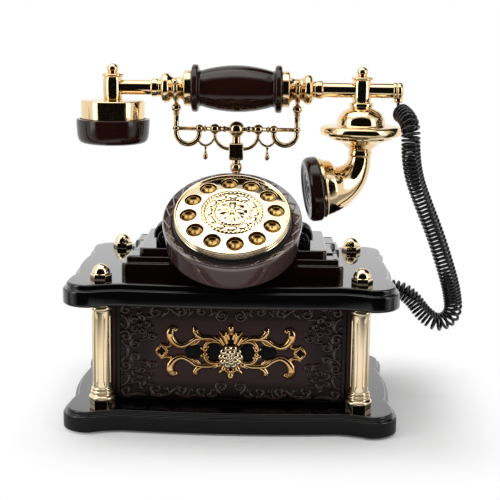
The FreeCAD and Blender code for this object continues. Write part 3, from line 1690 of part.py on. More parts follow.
def route_points():
    """The route's points, each moved in proportion when the ends it was chosen for have moved."""
    first = Vector(number(EXIT_X), number("hook_y"), number(EXIT_LEVEL))
    last = Vector(number("case_half_x + gland_long"), number("gland_y"), number(GLAND_LEVEL))
    first_shift = first - Vector(*CORD_ROUTE[0])
    last_shift = last - Vector(*CORD_ROUTE[-1])
    spots = []
    for index, point in enumerate(CORD_ROUTE):
        share = index / (len(CORD_ROUTE) - 1)
        spots.append(Vector(*point) + first_shift * (1 - share) + last_shift * share)
    return spots


def route_spline():
    """A smooth curve that takes the route's points as its controls and touches the first and last."""
    count = len(CORD_ROUTE)
    spline = Part.BSplineCurve()
    knots = list(range(count - 1))
    spline.buildFromPolesMultsKnots(route_points(), [3] + [1] * (count - 3) + [3], knots, False, 2)
    return spline


def ease(amount):
    amount = min(max(amount, 0.0), 1.0)
    return amount * amount * (3 - 2 * amount)


def make_cord():
    """The curly cord: straight ends, then curls about the route, wider apart where the route bends."""
    wire, radius = number("cord_wire"), number("cord_coil_radius")
    pitch, gap = number("cord_pitch"), number("cord_least_gap")
    lead, tail = number("cord_lead"), number("cord_tail")
    spline = route_spline()
    edge = spline.toShape()
    total = edge.Length
    step = 0.25
    count = int(total / step)
    step = total / count
    stations = [spline.parameterAtDistance(step * index, spline.FirstParameter) for index in range(count + 1)]
    centres = [spline.value(station) for station in stations]
    tangents = [spline.tangent(station)[0] for station in stations]

    # Carry a steady direction along the route, and count the curls as they go.
    across = tangents[0].cross(Vector(0, 1, 0)).normalize()
    angle, angles, sides = 0.0, [], []
    for index in range(count + 1):
        tangent = tangents[index]
        across = (across - tangent * across.dot(tangent)).normalize()
        sides.append(across)
        angles.append(angle)
        near = tangents[max(index - 8, 0)]
        far = tangents[min(index + 8, count)]
        curve = near.getAngle(far) / (step * (min(index + 8, count) - max(index - 8, 0)))
        room = max(1 - curve * radius * 1.06, 0.3)
        here = step * index
        speed = ease((here - wire) / lead - 0.6) * ease((total - tail - here) / lead + 0.4)
        angle += 2 * math.pi * speed * step / max(pitch, (wire + gap) / room)

    def spot(distance):
        """A point of the wire at this distance along the route."""
        place_on = min(max(distance / step, 0.0), count - 1e-6)
        low = int(place_on)
        part = place_on - low
        centre = centres[low] * (1 - part) + centres[low + 1] * part
        tangent = (tangents[low] * (1 - part) + tangents[low + 1] * part).normalize()
        normal = sides[low] * (1 - part) + sides[low + 1] * part
        normal = (normal - tangent * normal.dot(tangent)).normalize()
        turn = angles[low] * (1 - part) + angles[low + 1] * part
        spread = radius * ease((distance - wire) / lead) * ease((total - tail - distance) / lead + 1)
        return centre + normal * (spread * math.cos(turn)) + tangent.cross(normal) * (spread * math.sin(turn))

    # A point every quarter curl, and every few millimetres along the straight tail.
    distances, last_turn, last = [wire], angles[int(wire / step)], wire
    for index in range(int(wire / step) + 1, int((total - wire) / step)):
        if angles[index] - last_turn >= math.pi / 2 or step * index - last >= 3 * wire:
            last_turn, last = angles[index], step * index
            distances.append(last)
    if total - wire - last < wire:
        distances.pop()
    distances.append(total - wire)
    points = [spot(distance) for distance in distances]
    small = step / 2
    ways = [(spot(distance + small) - spot(distance - small)).normalize() for distance in distances]
    ways[0], ways[-1] = tangents[0], tangents[-1]
    points[0], points[-1] = centres[0] + tangents[0] * wire, centres[-1] - tangents[-1] * wire
    tube, path = wound_tube(points, ways, wire, lead=wire)
    print(f"handset cord: route {total:.1f}, curls {angles[-1] / (2 * math.pi):.1f}, "
          f"wire {path.Length:.0f}, least gap to itself {least_gap(path, wire, math.pi * radius):.2f}")
    cord = doc.addObject("Part::Feature", "cord")
    cord.Shape = tube
    cord.Placement = FreeCAD.Placement()
    node(cord, "handset_cord")


def check_and_write():
    doc.recompute()
    for item in doc.Objects:
        if "Invalid" in item.State or "Error" in item.State:
            raise RuntimeError(f"{item.Name} {item.Label} failed: {item.State}")
    broken = [
        item.Label
        for item in NODES
        if item.Shape.isNull() or not item.Shape.isValid() or not item.Shape.Solids
    ]
    if broken:
        raise RuntimeError(f"no valid solid: {broken}")
    os.makedirs("parts", exist_ok=True)
    for item in NODES:
        item.Shape.exportStep(f"parts/{item.Label}.step")
    print(f"{len(NODES)} nodes written")


make_felt()
make_plinth()
make_bottom_cover()
make_case()
make_ornament()
make_columns()
make_tie_bolts()
make_top()
make_pedestal()
make_dial()
make_keys()
make_hook_parts()
make_hook_spring()
make_cradle_stem()
make_crossbar()
make_fork(-1, "left_fork")
make_fork(1, "right_fork")
make_grip()
make_collar(-1, "left_collar")
make_collar(1, "right_collar")
make_tube()
make_earpiece()
make_mouth_bell()
make_mouthpiece()
make_inner_pieces()
make_cord()
check_and_write()
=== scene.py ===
import json
import math

import bmesh
import bpy
import numpy as np
from mathutils import Matrix, Vector


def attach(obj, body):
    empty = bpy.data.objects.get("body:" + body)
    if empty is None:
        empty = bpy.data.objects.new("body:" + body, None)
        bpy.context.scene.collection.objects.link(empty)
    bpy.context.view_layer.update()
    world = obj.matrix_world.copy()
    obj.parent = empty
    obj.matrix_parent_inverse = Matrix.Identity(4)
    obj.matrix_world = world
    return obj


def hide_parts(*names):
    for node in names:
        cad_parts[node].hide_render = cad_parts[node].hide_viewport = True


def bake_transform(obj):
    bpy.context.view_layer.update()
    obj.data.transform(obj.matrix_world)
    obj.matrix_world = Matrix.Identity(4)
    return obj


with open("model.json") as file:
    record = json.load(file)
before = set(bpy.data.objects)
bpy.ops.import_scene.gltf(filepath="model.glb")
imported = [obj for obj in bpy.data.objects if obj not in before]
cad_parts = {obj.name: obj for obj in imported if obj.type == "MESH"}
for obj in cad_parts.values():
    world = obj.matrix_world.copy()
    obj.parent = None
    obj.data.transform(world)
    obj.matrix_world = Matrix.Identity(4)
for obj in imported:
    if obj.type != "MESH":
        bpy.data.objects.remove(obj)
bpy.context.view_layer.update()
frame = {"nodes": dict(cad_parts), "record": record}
nodes = frame["nodes"]
print("frame loaded:", len(nodes), "nodes")

mm = 0.001  # lengths are in millimetres unless a note says metres
fullTurn = 2 * math.pi
tiny = 0.01  # radius of a pole, where a profile meets its axis
mergeWithin = 2e-6  # metres; points closer than this become one
mostOfSide = 0.49  # share of a side that a rounded corner may take

# camera: the view of the photo

camera = {
    "place": (29.14, -900.01, 308.36),
    "yaw": -0.0183335,
    "pitch": 0.18481693,  # down
    "roll": 0.01389637,
    "lens": 80.7,
    "sensor": 36,
    "shiftY": -0.0275,
    "near": 0.05,  # metres
    "far": 20,
}


def linked(obj):  # the object, put into the scene
    bpy.context.scene.collection.objects.link(obj)
    return obj


# the eye looks along +Y turned by the yaw and lowered by the pitch; the roll turns the two axes across
# that line
def makeCamera(c):
    cosYaw, sinYaw = math.cos(c["yaw"]), math.sin(c["yaw"])
    cosPitch, sinPitch = math.cos(c["pitch"]), math.sin(c["pitch"])
    cosRoll, sinRoll = math.cos(c["roll"]), math.sin(c["roll"])
    ahead = Vector((sinYaw * cosPitch, cosYaw * cosPitch, -sinPitch))
    right = Vector((cosYaw, -sinYaw, 0))
    up = right.cross(ahead)
    across, above = right * cosRoll + up * sinRoll, up * cosRoll - right * sinRoll
    turn = Matrix((across, above, -ahead)).transposed().to_4x4()
    data = bpy.data.cameras.new("photoCamera")
    data.lens, data.sensor_width, data.shift_y = c["lens"], c["sensor"], c["shiftY"]
    data.clip_start, data.clip_end = c["near"], c["far"]
    eye = linked(bpy.data.objects.new("photoCamera", data))
    eye.matrix_world = Matrix.Translation(Vector(c["place"]) * mm) @ turn
    bpy.context.scene.camera = eye


makeCamera(camera)

# grids, sections and paths that the pieces are made of


def addMesh(name, verts, faces):  # one smooth mesh: doubles merged, then every face turned outwards
    mesh = bpy.data.meshes.new(name)
    mesh.from_pydata((np.asarray(verts, float) * mm).tolist(), [], faces)
    bm = bmesh.new()
    bm.from_mesh(mesh)
    bmesh.ops.remove_doubles(bm, verts=bm.verts, dist=mergeWithin)
    bmesh.ops.recalc_face_normals(bm, faces=bm.faces)
    bm.to_mesh(mesh)
    bm.free()
    mesh.polygons.foreach_set("use_smooth", np.full(len(mesh.polygons), True))
    mesh.update()
    return linked(bpy.data.objects.new(name, mesh))


def gridFaces(rows, cols, start, closeRows):  # quads between neighbouring rows, closed round the columns
    r, c = np.meshgrid(np.arange(rows if closeRows else rows - 1), np.arange(cols), indexing="ij")
    nextRow, nextCol = (r + 1) % rows, (c + 1) % cols
    quads = np.stack([r * cols + c, r * cols + nextCol, nextRow * cols + nextCol, nextRow * cols + c], -1)
    return (quads.reshape(-1, 4) + start).tolist()


class Shell:  # gathers grids of points into one mesh
    def __init__(self):
        self.verts, self.faces, self.count = [], [], 0

    # caps close the first and the last row with one face each
    def grid(self, points, closeRows=False, caps=False):
        rows, cols = points.shape[:2]
        self.faces += gridFaces(rows, cols, self.count, closeRows)
        if caps:
            first = self.count + np.arange(cols)
            self.faces += [first[::-1].tolist(), (first + (rows - 1) * cols).tolist()]
        self.verts.append(points.reshape(-1, 3))
        self.count += rows * cols
        return self

    def make(self, name):  # the gathered grids as one object
        return addMesh(name, np.vstack(self.verts), self.faces)


def ringAngles(count):  # even angles once round
    return np.linspace(0, fullTurn, count, endpoint=False)


def unitLength(vectors):  # each row divided by its own length
    return vectors / np.linalg.norm(vectors, axis=1, keepdims=True)


# each corner becomes a short parabola that leaves and meets its two sides
def soften(points, rounds, steps=5):
    p = np.asarray(points, float)
    corner = p[1:-1]
    reach = np.broadcast_to(np.asarray(rounds, float), (len(p),))[1:-1, None]
    back, on = p[:-2] - corner, p[2:] - corner
    backLong = np.linalg.norm(back, axis=1, keepdims=True)
    onLong = np.linalg.norm(on, axis=1, keepdims=True)
    a = corner + back / backLong * np.minimum(reach, backLong * mostOfSide)
    b = corner + on / onLong * np.minimum(reach, onLong * mostOfSide)
    t = np.linspace(0, 1, steps)[None, :, None]
    bends = (1 - t) ** 2 * a[:, None] + 2 * t * (1 - t) * corner[:, None] + t ** 2 * b[:, None]
    return np.vstack([p[:1], bends.reshape(-1, p.shape[1]), p[-1:]])


def spin(profile, around):  # a profile of (radius, height) turned about z
    angle = ringAngles(around)
    r, z = profile[:, :1], profile[:, 1:]
    return np.stack([r * np.cos(angle), r * np.sin(angle), np.broadcast_to(z, (len(profile), around))], -1)


def raised(flat, heights):  # rows of points in plan, each row given its own height
    return np.concatenate([flat, np.broadcast_to(heights[:, None, None], flat.shape[:2] + (1,))], -1)


def placed(points, turn=None, at=(0, 0, 0)):  # points turned by a matrix and moved
    matrix = np.eye(3) if turn is None else np.array(turn)
    return points @ matrix.T + np.asarray(at, float)


# a cubic through each pair of points, its slopes taken from their neighbours
def throughPoints(points, count):
    p = np.asarray(points, float)
    wide = np.vstack([2 * p[0] - p[1], p, 2 * p[-1] - p[-2]])
    u = np.linspace(0, len(p) - 1, count)
    i = np.minimum(u.astype(int), len(p) - 2)
    t = (u - i)[:, None]
    a, b, c, d = wide[i], wide[i + 1], wide[i + 2], wide[i + 3]
    square, cube = 2 * a - 5 * b + 4 * c - d, 3 * b - 3 * c + d - a
    return 0.5 * (2 * b + (c - a) * t + square * t ** 2 + cube * t ** 3)


# a round section carried along a path; side lies across the path, and flat squeezes the section along side
def sweep(path, radius, side, sides=12, flat=1.0):
    path = np.asarray(path, float)
    along = unitLength(np.gradient(path, axis=0))
    one = np.broadcast_to(np.asarray(side, float), path.shape)
    one = unitLength(one - along * np.sum(one * along, axis=1, keepdims=True))
    two = np.cross(along, one)
    angle = ringAngles(sides)[None, :, None]
    r = np.broadcast_to(np.asarray(radius, float), (len(path),))[:, None, None]
    ring = one[:, None] * np.cos(angle) * flat + two[:, None] * np.sin(angle)
    return path[:, None] + ring * r


def blob(centre, size, rows=12, around=20):  # an ellipsoid: latitude down, longitude round
    lat = np.linspace(0, np.pi, rows)[:, None]
    lon = ringAngles(around)[None]
    unit = np.stack([np.sin(lat) * np.cos(lon), np.sin(lat) * np.sin(lon), np.cos(lat) + 0 * lon], -1)
    return unit * np.asarray(size, float) + np.asarray(centre, float)


def hexagon(angle):  # distance to a hexagon's side, where its corners stand at 1
    return math.cos(math.pi / 6) / np.cos(angle % (math.pi / 3) - math.pi / 6)


def meshOf(name, curve):  # a curve or text made a mesh, by way of an object that is taken out again
    holder = linked(bpy.data.objects.new(name, curve))
    mesh = bpy.data.meshes.new_from_object(holder)
    bpy.data.objects.remove(holder)
    return mesh


def pointsOf(mesh):  # a mesh's vertices as rows of x, y and z
    points = np.zeros(len(mesh.vertices) * 3)
    mesh.vertices.foreach_get("co", points)
    return points.reshape(-1, 3)


# places and turns that several pieces share

hookY = 20
handsetZ = 258.5
crossbarZ = 225.5
earX = -101.5
mouthX = 101.7
postFoot = 248.7
handsetAt = (0, hookY, handsetZ)
dialAt = (0, -58, 164.7)
columnPlaces = [(-100, -63), (100, -63), (-100, 63), (100, 63)]
elbowTurn = math.radians(83)
alongX = Matrix.Rotation(math.radians(90), 3, "Y")
dialTilt = Matrix.Rotation(math.radians(33.7), 3, "X")
elbowSwing = Matrix.Rotation(math.radians(8), 3, "Z")  # the mouth is swung a little to the front
mouthTurn = elbowSwing @ Matrix.Rotation(elbowTurn, 3, "Y")

# finishes


class Socket:  # a shader socket that takes arithmetic; each operator adds one Math node
    def __init__(self, owner, socket):
        self.owner, self.socket = owner, socket

    def maths(self, operation, one, two=0.0):  # one Math node
        return self.owner.add("ShaderNodeMath", {"operation": operation}, {0: one, 1: two})[0]

    def __add__(self, other):
        return self.maths("ADD", self, other)

    def __radd__(self, other):
        return self.maths("ADD", other, self)

    def __sub__(self, other):
        return self.maths("SUBTRACT", self, other)

    def __rsub__(self, other):
        return self.maths("SUBTRACT", other, self)

    def __mul__(self, other):
        return self.maths("MULTIPLY", self, other)

    def __rmul__(self, other):
        return self.maths("MULTIPLY", other, self)

    def __truediv__(self, other):
        return self.maths("DIVIDE", self, other)

    def __rtruediv__(self, other):
        return self.maths("DIVIDE", other, self)

    def __abs__(self):
        return self.maths("ABSOLUTE", self)

    def larger(self, other):  # the greater of the two
        return self.maths("MAXIMUM", self, other)


class ShaderTree:  # the nodes of a material or of the world
    def __init__(self, owner, outputKind):
        owner.use_nodes = True
        self.tree = owner.node_tree
        self.tree.nodes.clear()
        self.out = self.tree.nodes.new(outputKind).inputs[0]

    def feed(self, socket, value):  # a link from another socket, or a fixed value
        if isinstance(value, Socket):
            self.tree.links.new(value.socket, socket)
        else:
            socket.default_value = value

    def add(self, kind, settings=None, sockets=None):  # a node: its settings first, then its sockets
        node = self.tree.nodes.new(kind)
        for key, value in (settings or {}).items():
            setattr(node, key, value)
        for key, value in (sockets or {}).items():
            self.feed(node.inputs[key], value)
        return [Socket(self, s) for s in node.outputs]

    def lightPath(self):  # the kinds of ray, by name
        return {s.socket.name: s for s in self.add("ShaderNodeLightPath")}

    def split(self, vector):  # a vector's x, y and z
        return self.add("ShaderNodeSeparateXYZ", None, {0: vector})

    def vector(self, operation, one, two=(0, 0, 0)):  # vector maths: the vector, then the plain value
        return self.add("ShaderNodeVectorMath", {"operation": operation}, {0: one, 1: two})

    # a smooth change from least to most between low and high
    def step(self, value, low, high, least=0.0, most=1.0):
        reach = {"Value": value, "From Min": low, "From Max": high, "To Min": least, "To Max": most}
        return self.add("ShaderNodeMapRange", {"interpolation_type": "SMOOTHSTEP"}, reach)[0]

    def mix(self, share, one, two):  # one shader, and a share of another over it
        return self.add("ShaderNodeMixShader", None, {0: share, 1: one, 2: two})[0]


class Finish(ShaderTree):  # a material with one Principled shader
    def __init__(self, name):
        self.material = bpy.data.materials.new(name)
        super().__init__(self.material, "ShaderNodeOutputMaterial")
        self.shader = self.tree.nodes.new("ShaderNodeBsdfPrincipled")
        self.surface = Socket(self, self.shader.outputs[0])
        self.feed(self.out, self.surface)

    def where(self):  # object coordinates, the same on every piece
        return self.add("ShaderNodeTexCoord")[3]

    def noise(self, scale, detail=4, rough=0.55, stretch=(1, 1, 1)):  # scale counts the patches in a metre
        at = self.add("ShaderNodeMapping", None, {"Vector": self.where(), "Scale": stretch})[0]
        look = {"Vector": at, "Scale": scale, "Detail": detail, "Roughness": rough}
        return self.add("ShaderNodeTexNoise", None, look)[0]

    def tones(self, value, stops, c):  # a colour that goes from deep to light between two stops
        ramp = self.add("ShaderNodeValToRGB", None, {0: value})[0]
        elements = ramp.socket.node.color_ramp.elements
        for element, at, tone in zip(elements, stops, ("deep", "light")):
            element.position, element.color = at, (*c[tone], 1)
        return ramp

    def bump(self, height, strength, distance):  # distance in metres
        relief = {"Height": height, "Strength": strength, "Distance": distance}
        return self.add("ShaderNodeBump", None, relief)[0]

    def dim(self, colour, share):  # the colour times a share
        return self.vector("MULTIPLY", colour, share)[0]

    def shade(self, **values):  # the shader's own sockets, by name
        for key, value in values.items():
            self.feed(self.shader.inputs[key.replace("_", " ")], value)
        return self.material


gold = {"light": (0.92, 0.77, 0.53), "deep": (0.84, 0.66, 0.40), "rough": 0.06}
warmGold = {"light": (0.89, 0.69, 0.41), "deep": (0.78, 0.55, 0.29), "rough": 0.06}
wireGold = {"light": (0.76, 0.58, 0.34), "deep": (0.58, 0.41, 0.21), "rough": 0.06}
antique = {"light": (0.90, 0.60, 0.28), "deep": (0.46, 0.23, 0.06), "rough": 0.10}
keyGold = {"light": (0.60, 0.37, 0.12), "deep": (0.24, 0.12, 0.03), "rough": 0.18}
lacquer = {"light": (0.0026, 0.0021, 0.0021), "deep": (0.0013, 0.001, 0.001), "rough": 0.05}
stepLacquer = {"light": (0.011, 0.0035, 0.003), "deep": (0.006, 0.002, 0.0018), "rough": 0.05}
brown = {"light": (0.019, 0.005, 0.0035), "deep": (0.009, 0.0026, 0.0022), "rough": 0.06}
bezel = {"light": (0.068, 0.040, 0.039), "deep": (0.050, 0.026, 0.026), "rough": 0.06}
carved = {"light": (0.030, 0.010, 0.008), "deep": (0.018, 0.006, 0.005), "rough": 0.22}
carvedRidge = {"light": (0.020, 0.0070, 0.006), "deep": (0.009, 0.0032, 0.003), "rough": 0.01}
inlay = {"light": (0.004, 0.003, 0.003), "deep": (0.002, 0.002, 0.002), "rough": 0.3}
jacket = {"light": (0.008, 0.008, 0.009), "deep": (0.003, 0.003, 0.003), "rough": 0.18}
felt = {"light": (0.045, 0.045, 0.047), "deep": (0.012, 0.012, 0.012), "rough": 0.9}
moulding = {"light": (0.03, 0.03, 0.032), "deep": (0.02, 0.02, 0.021), "rough": 0.45}
enamel = {"light": (0.02, 0.012, 0.008), "deep": (0.012, 0.008, 0.005), "rough": 0.3}
zinc = {"light": (0.68, 0.68, 0.70), "deep": (0.48, 0.48, 0.50), "rough": 0.24}
mask = {"light": (0.05, 0.22, 0.09), "deep": (0.012, 0.085, 0.035), "rough": 0.35}
panelShade = {  # metres
    "foot": (0.018, 0.034, 0.12),  # heights between which the painted shade low down lifts, and the colour's share below them
    "field": (0.060, 0.0585, 0.0245),  # half width, middle height and half height of the oblong outside which shade is painted
    "edge": (0.95, 1.15),  # where the oblong's edge starts and ends, as shares of its half sizes
    "ground": 0.72,  # how much of the colour the painted shade takes away outside the oblong
}

# noise is given as (scale, detail, roughness, stretch), and the depth of a relief in metres
platedLook = {
    "tone": (38, 3),
    "marks": (420, 5, 0.6, (1, 1, 0.35)),
    "relief": (1500, 2),
    "stops": (0.3, 0.62),
    "strength": 0.02,
    "depth": 0.0002,
}
polishedLook = {
    "lines": (60, 6, 0.6, (0.25, 6, 6)),
    "dust": (900, 4),
    "stops": (0.35, 0.65),
    "dustRough": 0.05,
    "rippleDetail": 2,
    "depth": 0.0008,
    "coatIndex": 1.45,
}
mouldedLook = {"detail": 3, "stops": (0.3, 0.7), "rough": 0.15, "depth": 0.0003}
brushedLook = {
    "lines": (900, 4, 0.6, (1, 1, 0.05)),
    "stops": (0.3, 0.7),
    "rough": 0.14,
    "strength": 0.08,
    "depth": 0.0002,
}
circuitLook = {
    "scale": 130.0,
    "joint": 0.025,
    "offset": 0.3,
    "stops": (0.2, 0.8),
    "dust": 300,
    "rough": 0.1,
    "strength": 0.3,
    "depth": 0.0001,
}


# polished plate: a slow change of tone, and faint wiping marks in the gloss
def plated(name, c, smudge=0.05, grain=0.0):
    f, look = Finish(name), platedLook
    tone, marks = f.noise(*look["tone"]), f.noise(*look["marks"])
    colour = f.tones(tone, look["stops"], c)
    rough = c["rough"] + (marks - 0.5) * smudge
    normal = f.bump(f.noise(*look["relief"]), look["strength"] + grain, look["depth"])
    return f.shade(Base_Color=colour, Metallic=1.0, Roughness=rough, Normal=normal)


# lacquer over dark wood: long grain under the gloss; ripple is the scale and strength of the gloss's waves;
# foot paints shade low down by darkening the colour there, and field paints shade outside an oblong, where
# the larger share of its half sizes passes the edge
def polished(name, c, grain, shine, coat=0.0, ripple=(14, 0.012), foot=None, field=None):
    f, look = Finish(name), polishedLook
    lines, dust = f.noise(*look["lines"]), f.noise(*look["dust"])
    colour = f.tones(lines * grain + 0.5 * (1 - grain), look["stops"], c)
    rough = c["rough"] + dust * look["dustRough"]
    normal = f.bump(f.noise(ripple[0], look["rippleDetail"]), ripple[1], look["depth"])
    across, _, high = f.split(f.where())
    # painted shade: the colour darker low down, near the plinth
    if foot:
        colour = f.dim(colour, f.step(high, *foot))
    # painted shade round the carved border: the colour darker outside the oblong
    if field:
        halfWide, middle, halfTall = field
        share = (abs(across) / halfWide).larger(abs(high - middle) / halfTall)
        colour = f.dim(colour, 1 - panelShade["ground"] * f.step(share, *panelShade["edge"]))
    f.shade(Specular_IOR_Level=shine, Coat_Weight=coat, Coat_IOR=look["coatIndex"])
    return f.shade(Base_Color=colour, Roughness=rough, Normal=normal)


# fine moulded or woven grain in the tone, the gloss and the relief
def moulded(name, c, scale=1800, strength=0.12):
    f, look = Finish(name), mouldedLook
    grain = f.noise(scale, look["detail"])
    colour = f.tones(grain, look["stops"], c)
    rough = c["rough"] + (grain - 0.5) * look["rough"]
    return f.shade(Base_Color=colour, Roughness=rough, Normal=f.bump(grain, strength, look["depth"]))


def brushed(name, c):  # bare metal: noise drawn out upwards gives its fine lines
    f, look = Finish(name), brushedLook
    lines = f.noise(*look["lines"])
    colour = f.tones(lines, look["stops"], c)
    rough = c["rough"] + lines * look["rough"]
    normal = f.bump(lines, look["strength"], look["depth"])
    return f.shade(Base_Color=colour, Metallic=1.0, Roughness=rough, Normal=normal)


# solder mask with tracks: the thin joints of a brick pattern stand up a little and are paler
def circuit(name, c):
    f, look = Finish(name), circuitLook
    joints = {"Vector": f.where(), "Scale": look["scale"], "Mortar Size": look["joint"]}
    tones = {"Color1": (0, 0, 0, 1), "Color2": (0, 0, 0, 1), "Mortar": (1, 1, 1, 1)}
    tracks = f.add("ShaderNodeTexBrick", {"offset": look["offset"]}, {**joints, **tones})[1]
    colour = f.tones(tracks, look["stops"], c)
    rough = c["rough"] + f.noise(look["dust"]) * look["rough"]
    normal = f.bump(tracks, look["strength"], look["depth"])
    return f.shade(Base_Color=colour, Roughness=rough, Normal=normal)


finishes = {
    "gold": plated("polishedGold", gold),
    "warm": plated("warmGold", warmGold),
    "wire": plated("wireGold", wireGold),
    "antique": plated("antiqueGold", antique, smudge=0.16, grain=0.05),
    "key": plated("satinGoldKey", keyGold, smudge=0.12, grain=0.06),
    "lacquer": polished("blackLacquer", lacquer, grain=0.1, shine=0.2, coat=0.75),
    "step": polished("stepLacquer", stepLacquer, grain=0.1, shine=0.2, coat=0.75),
    "brown": polished("brownGloss", brown, grain=0.35, shine=0.4),
    "bezel": polished("brownBezel", bezel, grain=0.35, shine=1.0, coat=1.0),
    # painted shade: the carved mahogany is darker low down
    "carved": polished("carvedMahoganyPaintedShade", carved, grain=0.5, shine=0.2, foot=panelShade["foot"]),
    # painted shade: the panel's field is also darker outside the oblong round the carving
    "field": polished("panelFieldPaintedShade", carved, 0.5, 0.2, foot=panelShade["foot"], field=panelShade["field"]),
    "carving": polished("polishedCarving", carvedRidge, grain=0.4, shine=0.6, ripple=(200, 0.25)),
    "jacket": moulded("cordJacket", jacket, scale=2500, strength=0.05),
    "felt": moulded("blackFelt", felt, scale=2600, strength=0.9),
    "plastic": moulded("blackMoulding", moulding),
    "inlay": polished("blackInlay", inlay, grain=0.3, shine=0.08),
    "ink": moulded("digitEnamel", enamel),
    "steel": brushed("zincSteel", zinc),
    "board": circuit("solderMask", mask),
}
slotFinish = {
    "lacquered_wood": "lacquer",
    "mahogany_panel": "carved",
    "brown_gloss": "brown",
    "gold_plated_metal": "gold",
    "gold_plated_plastic": "gold",
    "gold_key": "key",
    "felt": "felt",
    "black_plastic": "plastic",
    "circuit_board": "board",
    "steel": "steel",
    "cord_jacket": "jacket",
}
nodeSlot = {s["node"]: s["material_slot"] for s in frame["record"]["subparts"]}


def dress(obj, finish):  # one finish all over
    obj.data.materials.clear()
    obj.data.materials.append(finishes[finish])


# finish, body, and the CAD node that it stands for
def settle(obj, body, finish, node=None):
    dress(obj, finish)
    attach(obj, body)
    if node:
        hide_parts(node)


for nodeName, nodeObject in nodes.items():
    dress(nodeObject, slotFinish[nodeSlot[nodeName]])
dress(nodes["front_panel"], "field")
print("finishes made:", len(finishes))

# handset cord

cord = {
    "route": [
        (131.5, 20.0, 249.0), (131.5, 20.0, 242.5), (137.0, 8.0, 239.0), (140.0, -2.2, 231.5),
        (140.0, -4.0, 219.0), (141.5, -0.5, 204.0), (146.0, 7.5, 187.0), (154.5, 13.5, 167.0),
        (166.0, 18.0, 141.0), (176.0, 22.0, 114.0), (183.5, 26.0, 91.0), (186.5, 28.5, 70.0),
        (174.0, 31.0, 60.5), (161.0, 33.0, 69.0), (152.0, 35.5, 81.5), (141.5, 38.0, 89.0),
        (127.0, 39.6, 90.0), (113.0, 40.0, 86.0), (101.0, 40.0, 84.0), (93.5, 40.0, 84.0),
    ],
    "order": 3,
    "fineness": 80,  # points that the route's curve gives between two of these
    "wire": 2.6,
    "curl": 6.6,  # radius to the middle of the wire
    "pitch": 2.75,
    "hang": (0.10, 0.62, 0.95),  # from and to as shares of the route, and the wider pitch there
    "hangEase": 0.14,
    "gap": 0.08,  # between curls on the inside of a bend
    "bendReach": 1.06,  # how much of the curl a bend presses together
    "leastRoom": 0.65,
    "lead": 5.0,
    "turnLate": 0.6,  # the turning starts this share of the lead after the spreading
    "turnOn": 0.4,  # and goes on for this share of the lead into the tail
    "tail": 30.0,
    "samples": 2400,
    "bendSpan": 41,  # samples over which a bend is evened out
    "perTurn": 20,
    "straightStep": 1.5,
    "sides": 10,
}


def routePoints(c):  # points along a curve of the third order that is drawn towards the route's points
    curve = bpy.data.curves.new("cordRoute", "CURVE")
    curve.dimensions, curve.resolution_u = "3D", c["fineness"]
    spline = curve.splines.new("NURBS")
    spline.points.add(len(c["route"]) - 1)
    for point, at in zip(spline.points, c["route"]):
        point.co = (*[v * mm for v in at], 1)
    spline.order_u, spline.use_endpoint_u = c["order"], True
    mesh = meshOf("cordRoute", curve)
    points = pointsOf(mesh)
    bpy.data.meshes.remove(mesh)
    return points / mm


def ease(t):  # a smooth rise from nought to one: three squares less two cubes
    t = np.clip(t, 0, 1)
    return t * t * (3 - 2 * t)


def atRun(s, run, values):  # each column of values looked up at the lengths s along the run
    return np.stack([np.interp(s, run, column) for column in values.T], -1)


# a helix about the route: its radius eases in and out at the ends, and its pitch opens where the cord
# hangs and where the route bends
def makeCord(c):
    raw = routePoints(c)
    run = np.r_[0, np.cumsum(np.linalg.norm(np.diff(raw, axis=0), axis=1))]
    total, wire, span = run[-1], c["wire"], c["bendSpan"]
    fine = np.linspace(0, total, c["samples"])
    mid = atRun(fine, run, raw)
    along = unitLength(np.gradient(mid, fine, axis=0))
    bend = np.linalg.norm(np.gradient(along, fine, axis=0), axis=1)
    bend = np.convolve(np.pad(bend, span // 2, "edge"), np.ones(span) / span, "valid")
    room = np.maximum(1 - bend * c["curl"] * c["bendReach"], c["leastRoom"])
    hangFrom, hangTo, wider = c["hang"]
    share = fine / total
    hanging = ease((share - hangFrom) / c["hangEase"]) * ease((hangTo - share) / c["hangEase"])
    pitch = np.maximum(c["pitch"] + wider * hanging, (wire + c["gap"]) / room)
    fromStart, toEnd = (fine - wire) / c["lead"], (total - c["tail"] - fine) / c["lead"]
    speed = ease(fromStart - c["turnLate"]) * ease(toEnd + c["turnOn"])
    angle = np.r_[0, np.cumsum(fullTurn * speed[:-1] * np.diff(fine) / pitch[:-1])]
    spread = c["curl"] * ease(fromStart) * ease(toEnd + 1)
    pace = angle / fullTurn * c["perTurn"] + fine / c["straightStep"]
    s = np.interp(np.linspace(0, pace[-1], int(pace[-1])), pace, fine)
    centre, tangent = atRun(s, fine, mid), atRun(s, fine, along)
    turn, out = np.interp(s, fine, angle)[:, None], np.interp(s, fine, spread)[:, None]
    one = unitLength(np.array([0, 1.0, 0]) - tangent * tangent[:, 1:2])
    two = np.cross(tangent, one)
    radial = one * np.cos(turn) + two * np.sin(turn)
    wirePath = centre + radial * out
    obj = Shell().grid(sweep(wirePath, wire / 2, radial, c["sides"]), caps=True).make("curlyCord")
    dress(obj, "jacket")
    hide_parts("handset_cord")
    (wirePath * 0.001).tolist()
    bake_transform(obj)


makeCord(cord)

# turned pieces


# a profile of (radius, height) with its corners rounded, turned about its axis and put in its place
def turnedPiece(name, p, body, finish, node, turn=None, at=(0, 0, 0)):
    line = soften(p["profile"], p["rounds"], p.get("steps", 5))
    settle(Shell().grid(placed(spin(line, p["around"]), turn, at)).make(name), body, finish, node)


